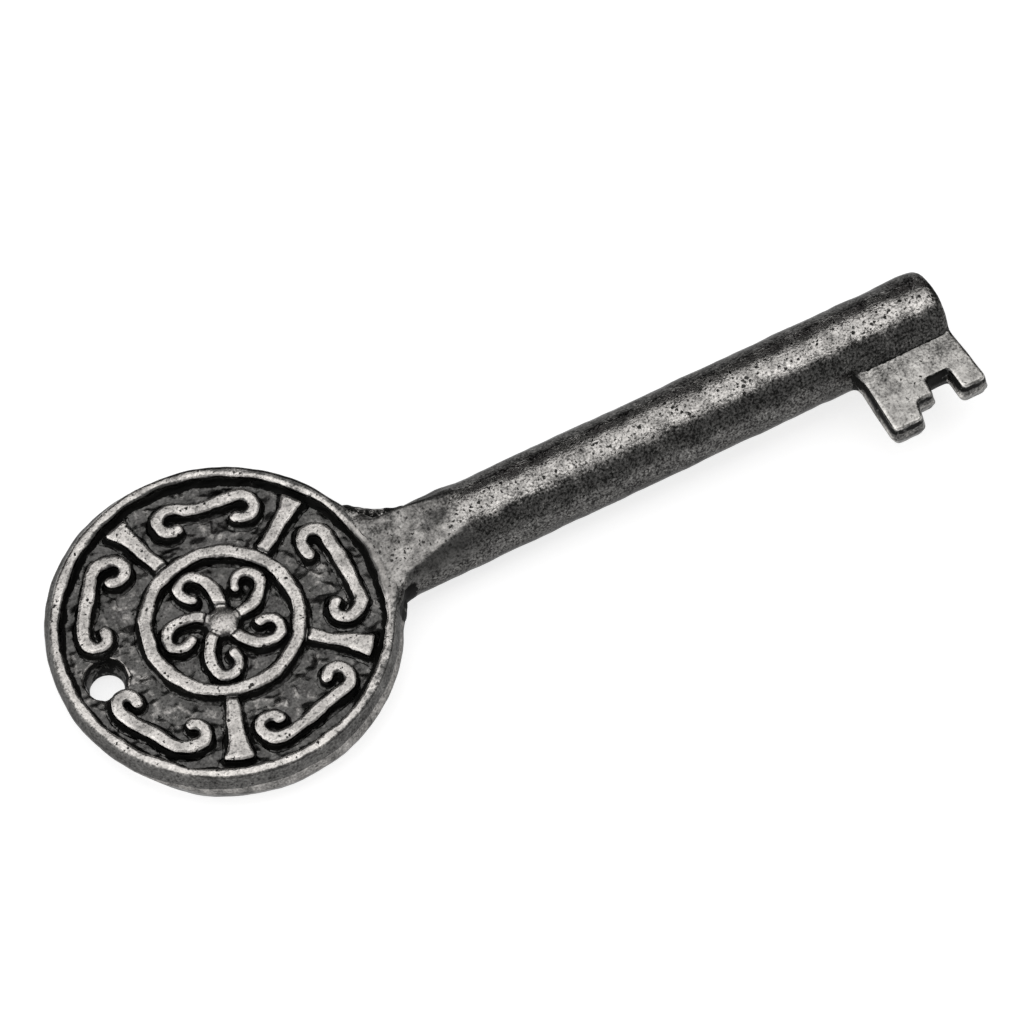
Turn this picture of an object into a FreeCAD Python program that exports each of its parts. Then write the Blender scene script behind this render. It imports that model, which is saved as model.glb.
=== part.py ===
import FreeCAD, Part
import math
import os
import Sketcher

# Cabinet key cast in one piece: a round bow with scrolls in relief, a round barrel stem and a
# bit with ward cuts. The frame has its origin at the centre of the barrel's mouth, X from bow to
# tip, Y across the bow away from the bit, and Z up out of the decorated face. Lengths are in mm.

SIZES = {
    # Bow plate and rim
    "bow_radius": 13.0,
    "bow_bulge": 0.47,
    "bow_thick": 3.3,
    "rim_width": 0.7,
    "field_depth": 1.0,
    # Spread of every raised side from its top to its foot
    "relief_draft": 0.15,
    # Hanging hole
    "hole_radius": 1.55,
    "hole_reach": 9.6,
    # Spokes
    "spoke_width": 1.0,
    "spoke_flare": 2.3,
    "spoke_waist": 8.6,
    "spoke_gap": 0.45,
    # Scrolls
    "scroll_width": 1.0,
    "scroll_tip_width": 0.8,
    # Centre ornament
    "ring_outer": 6.3,
    "ring_width": 0.95,
    "boss_radius": 1.25,
    "boss_dome": 0.3,
    "arm_width": 0.9,
    "arm_tip_width": 0.7,
    # Stem, neck and barrel bore
    "bow_to_tip": 62.0,
    "stem_radius": 3.3,
    "stem_offset": 0.76,
    "neck_length": 7.2,
    "neck_rise": 0.27,
    "neck_fillet": 2.0,
    "bore_radius": 1.9,
    "bore_depth": 16.0,
    "bore_point": 1.1,
    # Bit at its parting line, with each reach measured from the stem's axis
    "bit_width": 8.8,
    "bit_thick": 2.6,
    "bit_draft": 0.25,
    "bit_setback": 0.05,
    "bit_seat": 0.6,
    "rear_tooth_reach": 8.95,
    "front_tooth_reach": 8.1,
    "step_reach": 7.4,
    "notch_reach": 6.1,
    "rear_tooth_width": 2.75,
    "step_width": 1.4,
    "notch_width": 1.85,
    "tooth_slant": 0.4,
    "bit_corner": 0.4,
    # Length by which a cutting shape runs past what it cuts
    "overrun": 1.0,
}

# Spokes: name, direction from the bow's centre in degrees, and share of the full flare
SPOKE_SHARES = [
    ("spoke_top_left", 109.5, 1.0),
    ("spoke_top_right", 36, 0.8),
    ("spoke_bottom_right", -38, 1.0),
    ("spoke_bottom_left", -110, 1.05),
]

# Scrolls: each is drawn from the middle of its ribbon outwards. A row holds the middle's place as
# shares of the bow radius, its heading in degrees, and the moves ahead and back along the ribbon.
# A move is a reach, as a share of the bow radius, and a turn in degrees: a straight run of that
# length where the turn is zero, and otherwise a bend of that radius, to the left when positive.
SCROLL_SHARES = {
    "scroll_upper_left": (
        (-0.63, 0.495), 56,
        [(0.11, 0), (0.16, -56), (0.075, -180), (0.06, -35)],
        [(0.165, 0), (0.23, 32), (0.065, 180), (0.06, 20)]),
    "scroll_top": (
        (0.23, 0.715), -6,
        [(0.2, 0), (0.08, -84), (0.075, -100), (0.06, -50)],
        [(0.29, -29), (0.155, 35), (0.075, 90), (0.07, 110)]),
    "scroll_neck": (
        (0.785, 0.025), 90,
        [(0.19, 0), (0.08, 180), (0.23, 18)],
        [(0.23, 0), (0.115, -90), (0.065, -150)]),
    "scroll_bottom": (
        (0.23, -0.768), 15,
        [(0.21, 0), (0.08, 75), (0.07, 100), (0.06, 60)],
        [(0.185, 0), (0.23, -15), (0.1, -90), (0.06, -100), (0.07, -60)]),
    "scroll_lower_left": (
        (-0.69, -0.42), -60,
        [(0.155, 0), (0.175, 60), (0.065, 150), (0.06, 25)],
        [(0.145, 0), (0.14, -30), (0.06, -195)]),
}

# Whirl: each arm leaves the boss along the radius and curls up once, in moves whose reaches are
# shares of the space between the boss and the ring
ARM_COUNT = 5
ARM_SHARES = [(0.68, 62), (0.235, 205)]

# Rounding of the tip's edge, as a share of the wall around the bore
TIP_ROUND_SHARE = 0.64

# Sizes that follow from the ones above
FORMULAS = {
    "half_thick": "sizes.bow_thick / 2",
    "bow_widest": "sizes.bow_radius + sizes.bow_bulge",
    "field_level": "half_thick - sizes.field_depth",
    "plate_edge": "bow_widest - sizes.bow_bulge * field_level / half_thick",
    "rim_inner": "sizes.bow_radius - sizes.rim_width",
    "rim_foot": "rim_inner - sizes.relief_draft",
    "ring_foot": "sizes.ring_outer + sizes.relief_draft",
    "ring_inner": "sizes.ring_outer - sizes.ring_width",
    "ring_inner_foot": "ring_inner - sizes.relief_draft",
    "boss_foot": "sizes.boss_radius + sizes.relief_draft",
    "boss_shoulder": "half_thick - sizes.boss_dome",
    "boss_curve": "(sizes.boss_radius ^ 2 + sizes.boss_dome ^ 2) / (2 * sizes.boss_dome)",
    "boss_room": "sizes.field_depth + sizes.overrun",
    "spoke_half": "sizes.spoke_width / 2 + sizes.relief_draft",
    "spoke_root": "sqrt(ring_foot ^ 2 - spoke_half ^ 2)",
    "spoke_end": "rim_foot - sizes.spoke_gap",
    "root_x": "sizes.bow_radius - sizes.overrun - sizes.bow_to_tip",
    "neck_start_x": "sizes.bow_radius - sizes.bow_to_tip",
    "neck_end_x": "neck_start_x + sizes.neck_length",
    "neck_cut_x": "root_x - sizes.overrun",
    "neck_foot": "half_thick + sizes.neck_rise",
    "neck_cut_top": "sizes.stem_radius + sizes.overrun",
    "neck_half": "sqrt(sizes.stem_radius ^ 2 - half_thick ^ 2)",
    "fillet_rise": "neck_half + sizes.neck_fillet",
    "fillet_reach": "bow_widest + sizes.neck_fillet",
    "fillet_share": "bow_widest / fillet_reach",
    "far_rise": "fillet_rise - sizes.stem_offset",
    "near_rise": "fillet_rise + sizes.stem_offset",
    "far_run": "sqrt(fillet_reach ^ 2 - far_rise ^ 2)",
    "near_run": "sqrt(fillet_reach ^ 2 - near_rise ^ 2)",
    "far_neck_x": "far_run - sizes.bow_to_tip",
    "near_neck_x": "near_run - sizes.bow_to_tip",
    "far_bow_x": "far_run * fillet_share - sizes.bow_to_tip",
    "near_bow_x": "near_run * fillet_share - sizes.bow_to_tip",
    "far_bow_y": "far_rise * fillet_share + sizes.stem_offset",
    "near_bow_y": "near_rise * fillet_share - sizes.stem_offset",
    "tip_round": f"(sizes.stem_radius - sizes.bore_radius) * {TIP_ROUND_SHARE}",
    "tip_shoulder": "sizes.stem_radius - tip_round",
    "bore_tip": "sizes.bore_depth + sizes.bore_point",
    "bit_half": "sizes.bit_thick / 2",
    "bit_root": "sizes.stem_radius - sizes.bit_seat",
    "tooth_ends": "(sizes.step_reach + sizes.front_tooth_reach) / 2",
    "bit_rear": "sizes.bit_setback + sizes.bit_width",
    "rear_tooth_edge": "bit_rear - sizes.rear_tooth_width",
    "step_rear": "rear_tooth_edge - sizes.tooth_slant",
    "notch_rear": "step_rear - sizes.step_width",
    "notch_roof": "notch_rear - sizes.tooth_slant / 2",
    "notch_front": "notch_rear - sizes.notch_width",
}
for spoke_name, spoke_turn, flare_share in SPOKE_SHARES:
    end_half, end_run = spoke_name + "_half", spoke_name + "_run"
    FORMULAS[end_half] = f"sizes.spoke_flare * {flare_share} / 2 + sizes.relief_draft"
    FORMULAS[end_run] = f"sqrt(spoke_end ^ 2 - {end_half} ^ 2)"
    FORMULAS[spoke_name + "_curve"] = (
        f"(({end_run} - sizes.spoke_waist) ^ 2 + ({end_half} - spoke_half) ^ 2)"
        f" / (2 * ({end_half} - spoke_half))")

doc = FreeCAD.newDocument("cabinet_key")


def make_sheet(name, cells, lead):
    """Spreadsheet with a named cell for each size."""
    sheet = doc.addObject("Spreadsheet::Sheet", name)
    for row, (alias, content) in enumerate(cells.items(), start=1):
        sheet.set(f"A{row}", alias)
        sheet.set(f"B{row}", lead + str(content))
        sheet.setAlias(f"B{row}", alias)
    doc.recompute()
    return sheet


sizes = make_sheet("sizes", SIZES, "")
derived = make_sheet("derived", FORMULAS, "=")


def size(name):
    """Value of a named size; nothing gives zero, and a leading minus the negative."""
    if not name:
        return 0.0
    if name.startswith("-"):
        return -size(name[1:])
    sheet = sizes if name in SIZES else derived
    return float(sheet.get(name))


def cell(name):
    """Expression for a named size; a leading minus gives its negative."""
    if name.startswith("-"):
        return "-" + cell(name[1:])
    return ("sizes." if name in SIZES else "derived.") + name


def put_on_bow(piece, level="", turn=0.0):
    """Place a piece at the bow's centre, at a named level, turned about Z by degrees."""
    centre = FreeCAD.Vector(-size("bow_to_tip"), size("stem_offset"), size(level))
    piece.Placement = FreeCAD.Placement(centre, FreeCAD.Rotation(FreeCAD.Vector(0, 0, 1), turn))
    piece.setExpression("Placement.Base.x", cell("-bow_to_tip"))
    piece.setExpression("Placement.Base.y", cell("stem_offset"))
    if level:
        piece.setExpression("Placement.Base.z", cell(level))


def make_body(name):
    body = doc.addObject("PartDesign::Body", name)
    body.Label = name
    return body


def make_sketch(body, name, role):
    """Sketch on one of the body's own origin planes."""
    sketch = body.newObject("Sketcher::SketchObject", name)
    plane = next(item for item in body.Origin.OriginFeatures if item.Role == role)
    sketch.AttachmentSupport = [(plane, "")]
    sketch.MapMode = "FlatFace"
    return sketch


def bind(sketch, constraint, name):
    """Add a dimension to the sketch and tie it to a named size."""
    index = sketch.addConstraint(constraint)
    label = f"value_{index}"
    sketch.renameConstraint(index, label)
    sketch.setExpression(f"Constraints.{label}", cell(name))


def bind_point(sketch, edge, end, x, y):
    """Hold a point at named distances from the sketch's origin, or on an axis."""
    if x:
        bind(sketch, Sketcher.Constraint("DistanceX", -1, 1, edge, end, size(x)), x)
    else:
        sketch.addConstraint(Sketcher.Constraint("PointOnObject", edge, end, -2))
    if y:
        bind(sketch, Sketcher.Constraint("DistanceY", -1, 1, edge, end, size(y)), y)
    else:
        sketch.addConstraint(Sketcher.Constraint("PointOnObject", edge, end, -1))


def short_arc(start, end, radius, side):
    """Arc of under half a turn; side is 1 where its centre is on the left of the way."""
    half = (end - start) * 0.5
    across = FreeCAD.Vector(-half.y, half.x, 0).normalize()
    centre = start + half + across * side * math.sqrt(radius ** 2 - half.Length ** 2)
    first, last = (start, end) if side > 0 else (end, start)
    angles = [math.atan2(point.y - centre.y, point.x - centre.x) for point in (first, last)]
    return Part.ArcOfCircle(Part.Circle(centre, FreeCAD.Vector(0, 0, 1), radius), *angles)


def draw_outline(sketch, corners):
    """Closed outline through named corners.

    A corner is (x, y), or (x, y, radius, side) where an arc leads to the next corner.
    """
    points = [FreeCAD.Vector(size(corner[0]), size(corner[1]), 0) for corner in corners]
    ends = []
    for corner, start, end in zip(corners, points, points[1:] + points[:1]):
        if len(corner) == 4:
            side = corner[3]
            edge = sketch.addGeometry(short_arc(start, end, size(corner[2]), side), False)
            ends.append((edge, 1, 2) if side > 0 else (edge, 2, 1))
        else:
            edge = sketch.addGeometry(Part.LineSegment(start, end), False)
            ends.append((edge, 1, 2))
    for (edge, _, last), (after, first, _) in zip(ends, ends[1:] + ends[:1]):
        sketch.addConstraint(Sketcher.Constraint("Coincident", edge, last, after, first))
    for corner, (edge, first, _) in zip(corners, ends):
        bind_point(sketch, edge, first, corner[0], corner[1])
        if len(corner) == 4:
            bind(sketch, Sketcher.Constraint("Radius", edge, size(corner[2])), corner[2])


def revolve(body, name, corners, plane="XZ_Plane", axis="V_Axis"):
    """Turn a closed outline right round an axis of its sketch."""
    sketch = make_sketch(body, name + "_section", plane)
    draw_outline(sketch, corners)
    turned = body.newObject("PartDesign::Revolution", name)
    turned.Profile = sketch
    turned.ReferenceAxis = (sketch, [axis])
    turned.Angle = 360.0
    doc.recompute()
    return turned


def raise_pad(body, name, sketch, thickness, side_type="One side", draft=None):
    """Pad of a named thickness on one side, half of it on each or all of it on both.

    A draft is (spread, height): the named lengths whose ratio is the slope of the sides.
    """
    pad = body.newObject("PartDesign::Pad", name)
    pad.Profile = sketch
    pad.SideType = side_type
    pad.setExpression("Length", cell(thickness))
    if draft:
        pad.setExpression("TaperAngle", f"-atan({cell(draft[0])} / {cell(draft[1])})")
    if side_type == "Two sides":
        pad.setExpression("Length2", cell(thickness))
        pad.setExpression("TaperAngle2", f"-atan({cell(draft[0])} / {cell(draft[1])})")
    doc.recompute()
    return pad


def cut_through(body, name, sketch):
    """Cut the sketch right through the body both ways."""
    pocket = body.newObject("PartDesign::Pocket", name)
    pocket.Profile = sketch
    pocket.Type = "ThroughAll"
    pocket.SideType = "Symmetric"
    before = body.Shape.Volume
    doc.recompute()
    if pocket.Shape.Volume >= before:
        raise ValueError(name + " cuts nothing")
    return pocket


def subtract(name, base, tool):
    cut = doc.addObject("Part::Cut", name)
    cut.Base = base
    cut.Tool = tool
    cut.Label = name
    doc.recompute()
    return cut


def make_bow_plate():
    """Round plate with a flat back, a flat field and the hanging hole.

    Its edge is drafted both ways from the parting line, where the plate is widest.
    """
    body = make_body("bow_plate")
    put_on_bow(body)
    revolve(body, "plate_disc", [
        ("", "-half_thick"),
        ("bow_radius", "-half_thick"),
        ("bow_widest", ""),
        ("plate_edge", "field_level"),
        ("", "field_level"),
    ])
    sketch = make_sketch(body, "hole_plan", "XY_Plane")
    centre = FreeCAD.Vector(-size("hole_reach"), 0, 0)
    circle = Part.Circle(centre, FreeCAD.Vector(0, 0, 1), size("hole_radius"))
    edge = sketch.addGeometry(circle, False)
    bind_point(sketch, edge, 3, "-hole_reach", "")
    bind(sketch, Sketcher.Constraint("Radius", edge, size("hole_radius")), "hole_radius")
    cut_through(body, "hanging_hole", sketch)
    return body


def make_bow_rim():
    """Raised band that carries the plate's edge on up to the top face."""
    body = make_body("bow_rim")
    put_on_bow(body)
    revolve(body, "rim_band", [
        ("rim_foot", "field_level"),
        ("plate_edge", "field_level"),
        ("bow_radius", "half_thick"),
        ("rim_inner", "half_thick"),
    ])
    return body


def make_bow_blank():
    """Plate and rim as one plain disc, carried on up and down, which shapes the end of the neck."""
    body = make_body("bow_blank")
    put_on_bow(body)
    revolve(body, "blank_disc", [
        ("", "-neck_cut_top"),
        ("bow_radius", "-neck_cut_top"),
        ("bow_radius", "-half_thick"),
        ("bow_widest", ""),
        ("bow_radius", "half_thick"),
        ("bow_radius", "neck_cut_top"),
        ("", "neck_cut_top"),
    ])
    return body


def make_centre_ring():
    body = make_body("centre_ring")
    put_on_bow(body)
    revolve(body, "ring_band", [
        ("ring_inner_foot", "field_level"),
        ("ring_foot", "field_level"),
        ("ring_outer", "half_thick"),
        ("ring_inner", "half_thick"),
    ])
    return body


def make_centre_boss():
    """Low dome in the middle of the whirl."""
    body = make_body("centre_boss")
    put_on_bow(body)
    revolve(body, "boss_turned", [
        ("", "field_level"),
        ("boss_foot", "field_level"),
        ("boss_radius", "boss_shoulder", "boss_curve", 1),
        ("", "half_thick"),
    ])
    return body


def make_spoke(name, turn):
    """Spoke with parallel sides by the ring and a flared end by the rim."""
    body = make_body(name)
    put_on_bow(body, "field_level", turn)
    end_half, end_run, curve = name + "_half", name + "_run", name + "_curve"
    sketch = make_sketch(body, name + "_plan", "XY_Plane")
    draw_outline(sketch, [
        ("spoke_root", "-spoke_half"),
        ("spoke_waist", "-spoke_half", curve, -1),
        (end_run, "-" + end_half, "spoke_end", 1),
        (end_run, end_half, curve, -1),
        ("spoke_waist", "spoke_half"),
        ("spoke_root", "spoke_half", "ring_foot", -1),
    ])
    raise_pad(body, name + "_raised", sketch, "field_depth", "One side", ("relief_draft", "field_depth"))
    return body


def walk_ribbon(start, heading, moves, unit):
    """Centre line of a ribbon as spans of three stations: (x, y, heading, distance gone)."""
    station = (start[0], start[1], math.radians(heading), 0.0)
    spans = []
    for reach_share, turn in moves:
        x, y, facing, gone = station
        reach = reach_share * unit
        bend = math.radians(turn)
        span = [station]
        for share in (0.5, 1.0):
            if turn == 0:
                ahead = reach * share
                span.append((x + ahead * math.cos(facing), y + ahead * math.sin(facing),
                             facing, gone + ahead))
                continue
            side = math.copysign(1.0, bend)
            angle = facing + bend * share
            span.append((x + side * reach * (math.sin(angle) - math.sin(facing)),
                         y - side * reach * (math.cos(angle) - math.cos(facing)),
                         angle, gone + reach * abs(bend) * share))
        spans.append(span)
        station = span[-1]
    return spans


def ribbon_edges(spans, wide, narrow, grow, level):
    """Edges from the middle of a ribbon out along its left, round its end and back."""
    length = spans[-1][-1][3]

    def beside(station, side):
        x, y, facing, gone = station
        half = (wide + (narrow - wide) * gone / length) / 2 + grow
        return FreeCAD.Vector(x - side * half * math.sin(facing),
                              y + side * half * math.cos(facing), level)

    def trace(span, side):
        points = [beside(station, side) for station in span]
        if span[0][2] == span[-1][2]:
            return Part.LineSegment(points[0], points[-1]).toShape()
        return Part.Arc(*points).toShape()

    x, y, facing, _ = spans[-1][-1]
    end_half = narrow / 2 + grow
    front = FreeCAD.Vector(x + end_half * math.cos(facing), y + end_half * math.sin(facing), level)
    cap = Part.Arc(beside(spans[-1][-1], 1), front, beside(spans[-1][-1], -1)).toShape()
    out = [trace(span, 1) for span in spans]
    back = [trace(span[::-1], -1) for span in spans[::-1]]
    return out + [cap] + back


def raise_ribbon(ways, wide, narrow):
    """Ribbon with drafted sides, whose ways start at one middle."""
    sections = []
    for grow, level in ((size("relief_draft"), 0.0), (0.0, size("field_depth"))):
        edges = []
        for spans in ways:
            edges += ribbon_edges(spans, wide, narrow, grow, level)
        if len(ways) == 1:
            last, first = edges[-1].Vertexes[-1].Point, edges[0].Vertexes[0].Point
            edges.append(Part.LineSegment(last, first).toShape())
        sections.append(Part.Wire(edges))
    return Part.makeLoft(sections, True, True)


def make_scroll(name, middle_shares, heading, ahead, back):
    """C-scroll: one ribbon curled up at both ends."""
    unit = size("bow_radius")
    middle = [share * unit for share in middle_shares]
    ways = [walk_ribbon(middle, heading, ahead, unit), walk_ribbon(middle, heading + 180, back, unit)]
    scroll = doc.addObject("Part::Feature", name)
    scroll.Shape = raise_ribbon(ways, size("scroll_width"), size("scroll_tip_width"))
    scroll.Label = name
    put_on_bow(scroll, "field_level")
    return scroll


def make_boss_seat():
    """Round space of the boss, which the whirl arms stop against."""
    seat = doc.addObject("Part::Cylinder", "boss_seat")
    seat.setExpression("Radius", cell("boss_foot"))
    seat.setExpression("Height", cell("boss_room"))
    put_on_bow(seat, "field_level")
    return seat


def make_whirl_arm(name, turn, boss_seat):
    """Arm that runs out from the boss and curls up before the ring."""
    unit = size("ring_inner") - size("boss_radius")
    moves = [(size("boss_foot") / unit, 0)] + ARM_SHARES
    blank = doc.addObject("Part::Feature", name + "_blank")
    blank.Shape = raise_ribbon([walk_ribbon((0, 0), 0, moves, unit)],
                               size("arm_width"), size("arm_tip_width"))
    put_on_bow(blank, "field_level", turn)
    return subtract(name, blank, boss_seat)


def make_stem(bow_blank):
    """Round bar with a rounded tip and a blind bore, a wedge neck and fillets to the bow."""
    body = make_body("stem_bar")
    revolve(body, "bar", [
        ("root_x", ""),
        ("-bore_tip", ""),
        ("-bore_depth", "bore_radius"),
        ("", "bore_radius"),
        ("", "tip_shoulder", "tip_round", 1),
        ("-tip_round", "stem_radius"),
        ("root_x", "stem_radius"),
    ], "XY_Plane", "H_Axis")
    plan = make_sketch(body, "neck_plan", "XY_Plane")
    draw_outline(plan, [
        ("root_x", "-near_bow_y"),
        ("near_bow_x", "-near_bow_y", "neck_fillet", -1),
        ("near_neck_x", "-neck_half"),
        ("far_neck_x", "neck_half", "neck_fillet", -1),
        ("far_bow_x", "far_bow_y"),
        ("root_x", "far_bow_y"),
    ])
    raise_pad(body, "neck_web", plan, "bow_thick", "Symmetric")
    flats = make_sketch(body, "neck_flats_side", "XZ_Plane")
    for sign in ("", "-"):
        draw_outline(flats, [
            ("neck_cut_x", sign + "neck_foot"),
            ("neck_start_x", sign + "neck_foot"),
            ("neck_end_x", sign + "stem_radius"),
            ("neck_end_x", sign + "neck_cut_top"),
            ("neck_cut_x", sign + "neck_cut_top"),
        ])
    cut_through(body, "neck_flats", flats)
    return subtract("stem", body, bow_blank)


def make_bit(stem):
    """Flag with its ward cuts, drafted both ways from its parting line, seated on the stem."""
    body = make_body("bit_flag")
    plan = make_sketch(body, "bit_plan", "XY_Plane")
    draw_outline(plan, [
        ("-bit_rear", "-bit_root"),
        ("-bit_rear", "-rear_tooth_reach"),
        ("-rear_tooth_edge", "-rear_tooth_reach"),
        ("-step_rear", "-step_reach"),
        ("-notch_rear", "-step_reach"),
        ("-notch_roof", "-notch_reach"),
        ("-notch_front", "-notch_reach"),
        ("-notch_front", "-front_tooth_reach"),
        ("-bit_setback", "-front_tooth_reach"),
        ("-bit_setback", "-bit_root"),
    ])
    flag = raise_pad(body, "bit_raised", plan, "bit_half", "Two sides", ("bit_draft", "bit_half"))
    upright = [f"Edge{index}" for index, edge in enumerate(flag.Shape.Edges, start=1)
               if abs(edge.tangentAt(edge.FirstParameter).z) > 0.8
               and edge.CenterOfMass.y < -size("tooth_ends")]
    corners = body.newObject("PartDesign::Fillet", "tooth_corners")
    corners.Base = (flag, upright)
    corners.setExpression("Radius", cell("bit_corner"))
    doc.recompute()
    return subtract("bit", body, stem)


def make_key():
    """Every piece of the key, in the order in which it is built up."""
    bow_blank = make_bow_blank()
    boss_seat = make_boss_seat()
    stem = make_stem(bow_blank)
    pieces = [make_bow_plate(), make_bow_rim(), make_centre_ring(), make_centre_boss()]
    pieces += [make_spoke(name, turn) for name, turn, _ in SPOKE_SHARES]
    pieces += [make_scroll(name, *shares) for name, shares in SCROLL_SHARES.items()]
    pieces += [make_whirl_arm(f"whirl_arm_{index + 1}", 360 * index / ARM_COUNT, boss_seat)
               for index in range(ARM_COUNT)]
    return pieces + [stem, make_bit(stem)]


def check_document():
    for thing in doc.Objects:
        if "Invalid" in thing.State or "Error" in thing.State:
            raise ValueError(f"{thing.Name} failed: {thing.State}")


def write_pieces(pieces):
    """Check every piece, then write each to its own file."""
    for piece in pieces:
        shape = piece.Shape
        if shape.isNull() or not shape.isValid() or not shape.Solids:
            raise ValueError(piece.Label + " has no sound solid")
    os.makedirs("parts", exist_ok=True)
    for piece in pieces:
        box = piece.Shape.optimalBoundingBox()
        piece.Shape.exportStep(f"parts/{piece.Label}.step")
        print(f"{piece.Label:20} {len(piece.Shape.Solids)} solid {piece.Shape.Volume:9.2f} mm3 "
              f"x {box.XMin:7.2f} {box.XMax:7.2f} y {box.YMin:7.2f} {box.YMax:7.2f} "
              f"z {box.ZMin:6.2f} {box.ZMax:6.2f}")


key_pieces = make_key()
doc.recompute()
check_document()
write_pieces(key_pieces)
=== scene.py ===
# %% [markdown]
# A cast cabinet key, dressed in Blender
#
# The key is one iron casting: a round bow with scrolls in relief, a round stem bored at its tip and a
# bit with ward cuts. The solids that come in as the frame have the right sizes, but their edges are
# as sharp as a drawing. A real casting was poured in sand, so its edges are round, its corners are
# filled and its skin is lumpy. This script lets the sand do its work on every solid, gives the iron
# its dark skin and its rubbed tops, paints highlights and shade into its colour, and lights it like a
# small object on a white table.

# %% Load the frame
import math
from types import SimpleNamespace

import bpy
import numpy as np
import openvdb
from mathutils import Matrix, Vector, noise


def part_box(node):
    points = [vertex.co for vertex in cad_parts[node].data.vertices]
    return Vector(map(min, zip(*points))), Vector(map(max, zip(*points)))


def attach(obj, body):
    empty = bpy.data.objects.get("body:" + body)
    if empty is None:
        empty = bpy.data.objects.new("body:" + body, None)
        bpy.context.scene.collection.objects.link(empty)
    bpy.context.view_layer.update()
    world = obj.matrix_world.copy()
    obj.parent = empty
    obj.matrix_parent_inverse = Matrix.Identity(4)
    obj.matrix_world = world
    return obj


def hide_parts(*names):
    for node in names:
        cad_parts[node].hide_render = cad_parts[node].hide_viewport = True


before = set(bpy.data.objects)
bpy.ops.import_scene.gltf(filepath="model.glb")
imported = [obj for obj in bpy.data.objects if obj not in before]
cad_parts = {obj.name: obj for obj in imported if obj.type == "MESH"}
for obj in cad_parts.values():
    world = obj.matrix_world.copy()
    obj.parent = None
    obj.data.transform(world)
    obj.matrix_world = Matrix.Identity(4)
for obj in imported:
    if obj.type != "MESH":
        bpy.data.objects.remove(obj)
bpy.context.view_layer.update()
MM = 0.001
print("nodes:", ", ".join(sorted(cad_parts)))

# %% [markdown]
# Places on the key. Blender works in metres, and a key is easier to think about in millimetres, so
# the modelling below is in millimetres and only the finished meshes are scaled. The bow's centre, its
# size and its levels are read from the boxes of the solids instead of being typed again. Places that
# have no box of their own, such as the middle of the hanging hole, are given from the bow's centre.

# %% Places read from the solids
HOLE_REACH = 9.6
RIM_GROOVE = 11.75
NECK_CORNER_Y = 4.0


def box_mm(name):
    """Lowest and highest corner of a solid, in millimetres."""
    return [np.array(corner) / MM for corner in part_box(name)]


plate_low, plate_high = box_mm("bow_plate")
stem_low, stem_high = box_mm("stem")
bit_low, bit_high = box_mm("bit")
BOW_CENTRE = (plate_low + plate_high) / 2
BOW_RADIUS = (plate_high[0] - plate_low[0]) / 2
BACK_LEVEL = plate_low[2]
FIELD_LEVEL = plate_high[2]
TOP_LEVEL = box_mm("bow_rim")[1][2]
STEM_RADIUS = stem_high[2]
HOLE_PLACE = BOW_CENTRE - [HOLE_REACH, 0, 0]
print(f"bow radius {BOW_RADIUS:.2f}, field at {FIELD_LEVEL:.2f}, top at {TOP_LEVEL:.2f} mm")

# %% [markdown]
# Soft borders. Nothing on a worn casting starts or stops at a line, so every change below, be it a
# lump, a rub or a stain, comes in over a short distance. Two small functions do this for whole arrays
# of points at once. The two values between which a change happens are kept as a pair, the smaller one
# first: distances in millimetres, tilts in degrees from level, and shares without a unit.

# %% Soft borders
def rise(values, low, high):
    """0 below low, 1 above high, and an even slope between."""
    share = np.clip((values - low) / (high - low), 0, 1)
    return share * share * (3 - 2 * share)


def fall(values, low, high):
    """1 below low, 0 above high, and an even slope between."""
    return rise(-values, -high, -low)


print("a rise in five steps:", rise(np.linspace(0, 1, 5), 0, 1).round(2))

# %% [markdown]
# A casting as a cloud of tiny cubes. Blender's mesh bevels struggle where many pieces meet, but a
# grid of cubes doesn't care how shapes meet. Each solid is turned into a distance field, which says
# for every cube how far it is from the solid's skin. From it comes the share of each cube that is
# iron. Blurring that share acts like sand: sharp edges wear round and inner corners fill up, while
# flat faces stay where they are.

# %% Grids of cubes
BAND = 4.0


def distance_field(name, cube):
    """Signed distance to a solid's skin as a sparse grid, below zero in the iron."""
    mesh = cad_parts[name].data
    mesh.calc_loop_triangles()
    points = np.empty(len(mesh.vertices) * 3, np.float32)
    mesh.vertices.foreach_get("co", points)
    corners = np.empty(len(mesh.loop_triangles) * 3, np.int32)
    mesh.loop_triangles.foreach_get("vertices", corners)
    return openvdb.FloatGrid.createLevelSetFromPolygons(
        points.reshape(-1, 3) / MM, triangles=corners.reshape(-1, 3).astype(np.uint32),
        transform=openvdb.createLinearTransform(cube), halfWidth=BAND)


def read_block(grid, first, shape):
    """Dense copy of a sparse grid, from cube number first on."""
    values = np.empty(shape, np.float32)
    grid.copyToArray(values, ijk=tuple(int(n) for n in first))
    return values


def blurred(values, spread):
    """Gaussian blur along the three axes, with the spread in cubes."""
    reach = math.ceil(3 * spread)
    steps = np.arange(-reach, reach + 1)
    weights = np.exp(-0.5 * (steps / spread) ** 2)
    weights = (weights / weights.sum()).astype(np.float32)
    for axis in range(3):
        ends = [(reach, reach) if a == axis else (0, 0) for a in range(3)]
        padded = np.pad(values, ends, mode="edge")
        size = values.shape[axis]
        values = sum(weight * np.take(padded, range(start, start + size), axis)
                     for start, weight in enumerate(weights))
    return values


print(f"distances are known to {BAND:.0f} cubes on either side of a skin")

# %% [markdown]
# The slope up to the neck. On the real key the flat of the neck lies a little higher than the rim, and
# the iron runs from one to the other without a step. The solids meet there in a low step instead. A
# wedge of iron is laid over it in the grid itself, before the blur, so it melts in with the rest.

# %% Slope from the rim to the neck
NECK_RISE = 0.27
SLOPE_START = RIM_GROOVE + 0.5
SLOPE_SIDE = 1.3
SLOPE_DEPTH = 0.3


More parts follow.
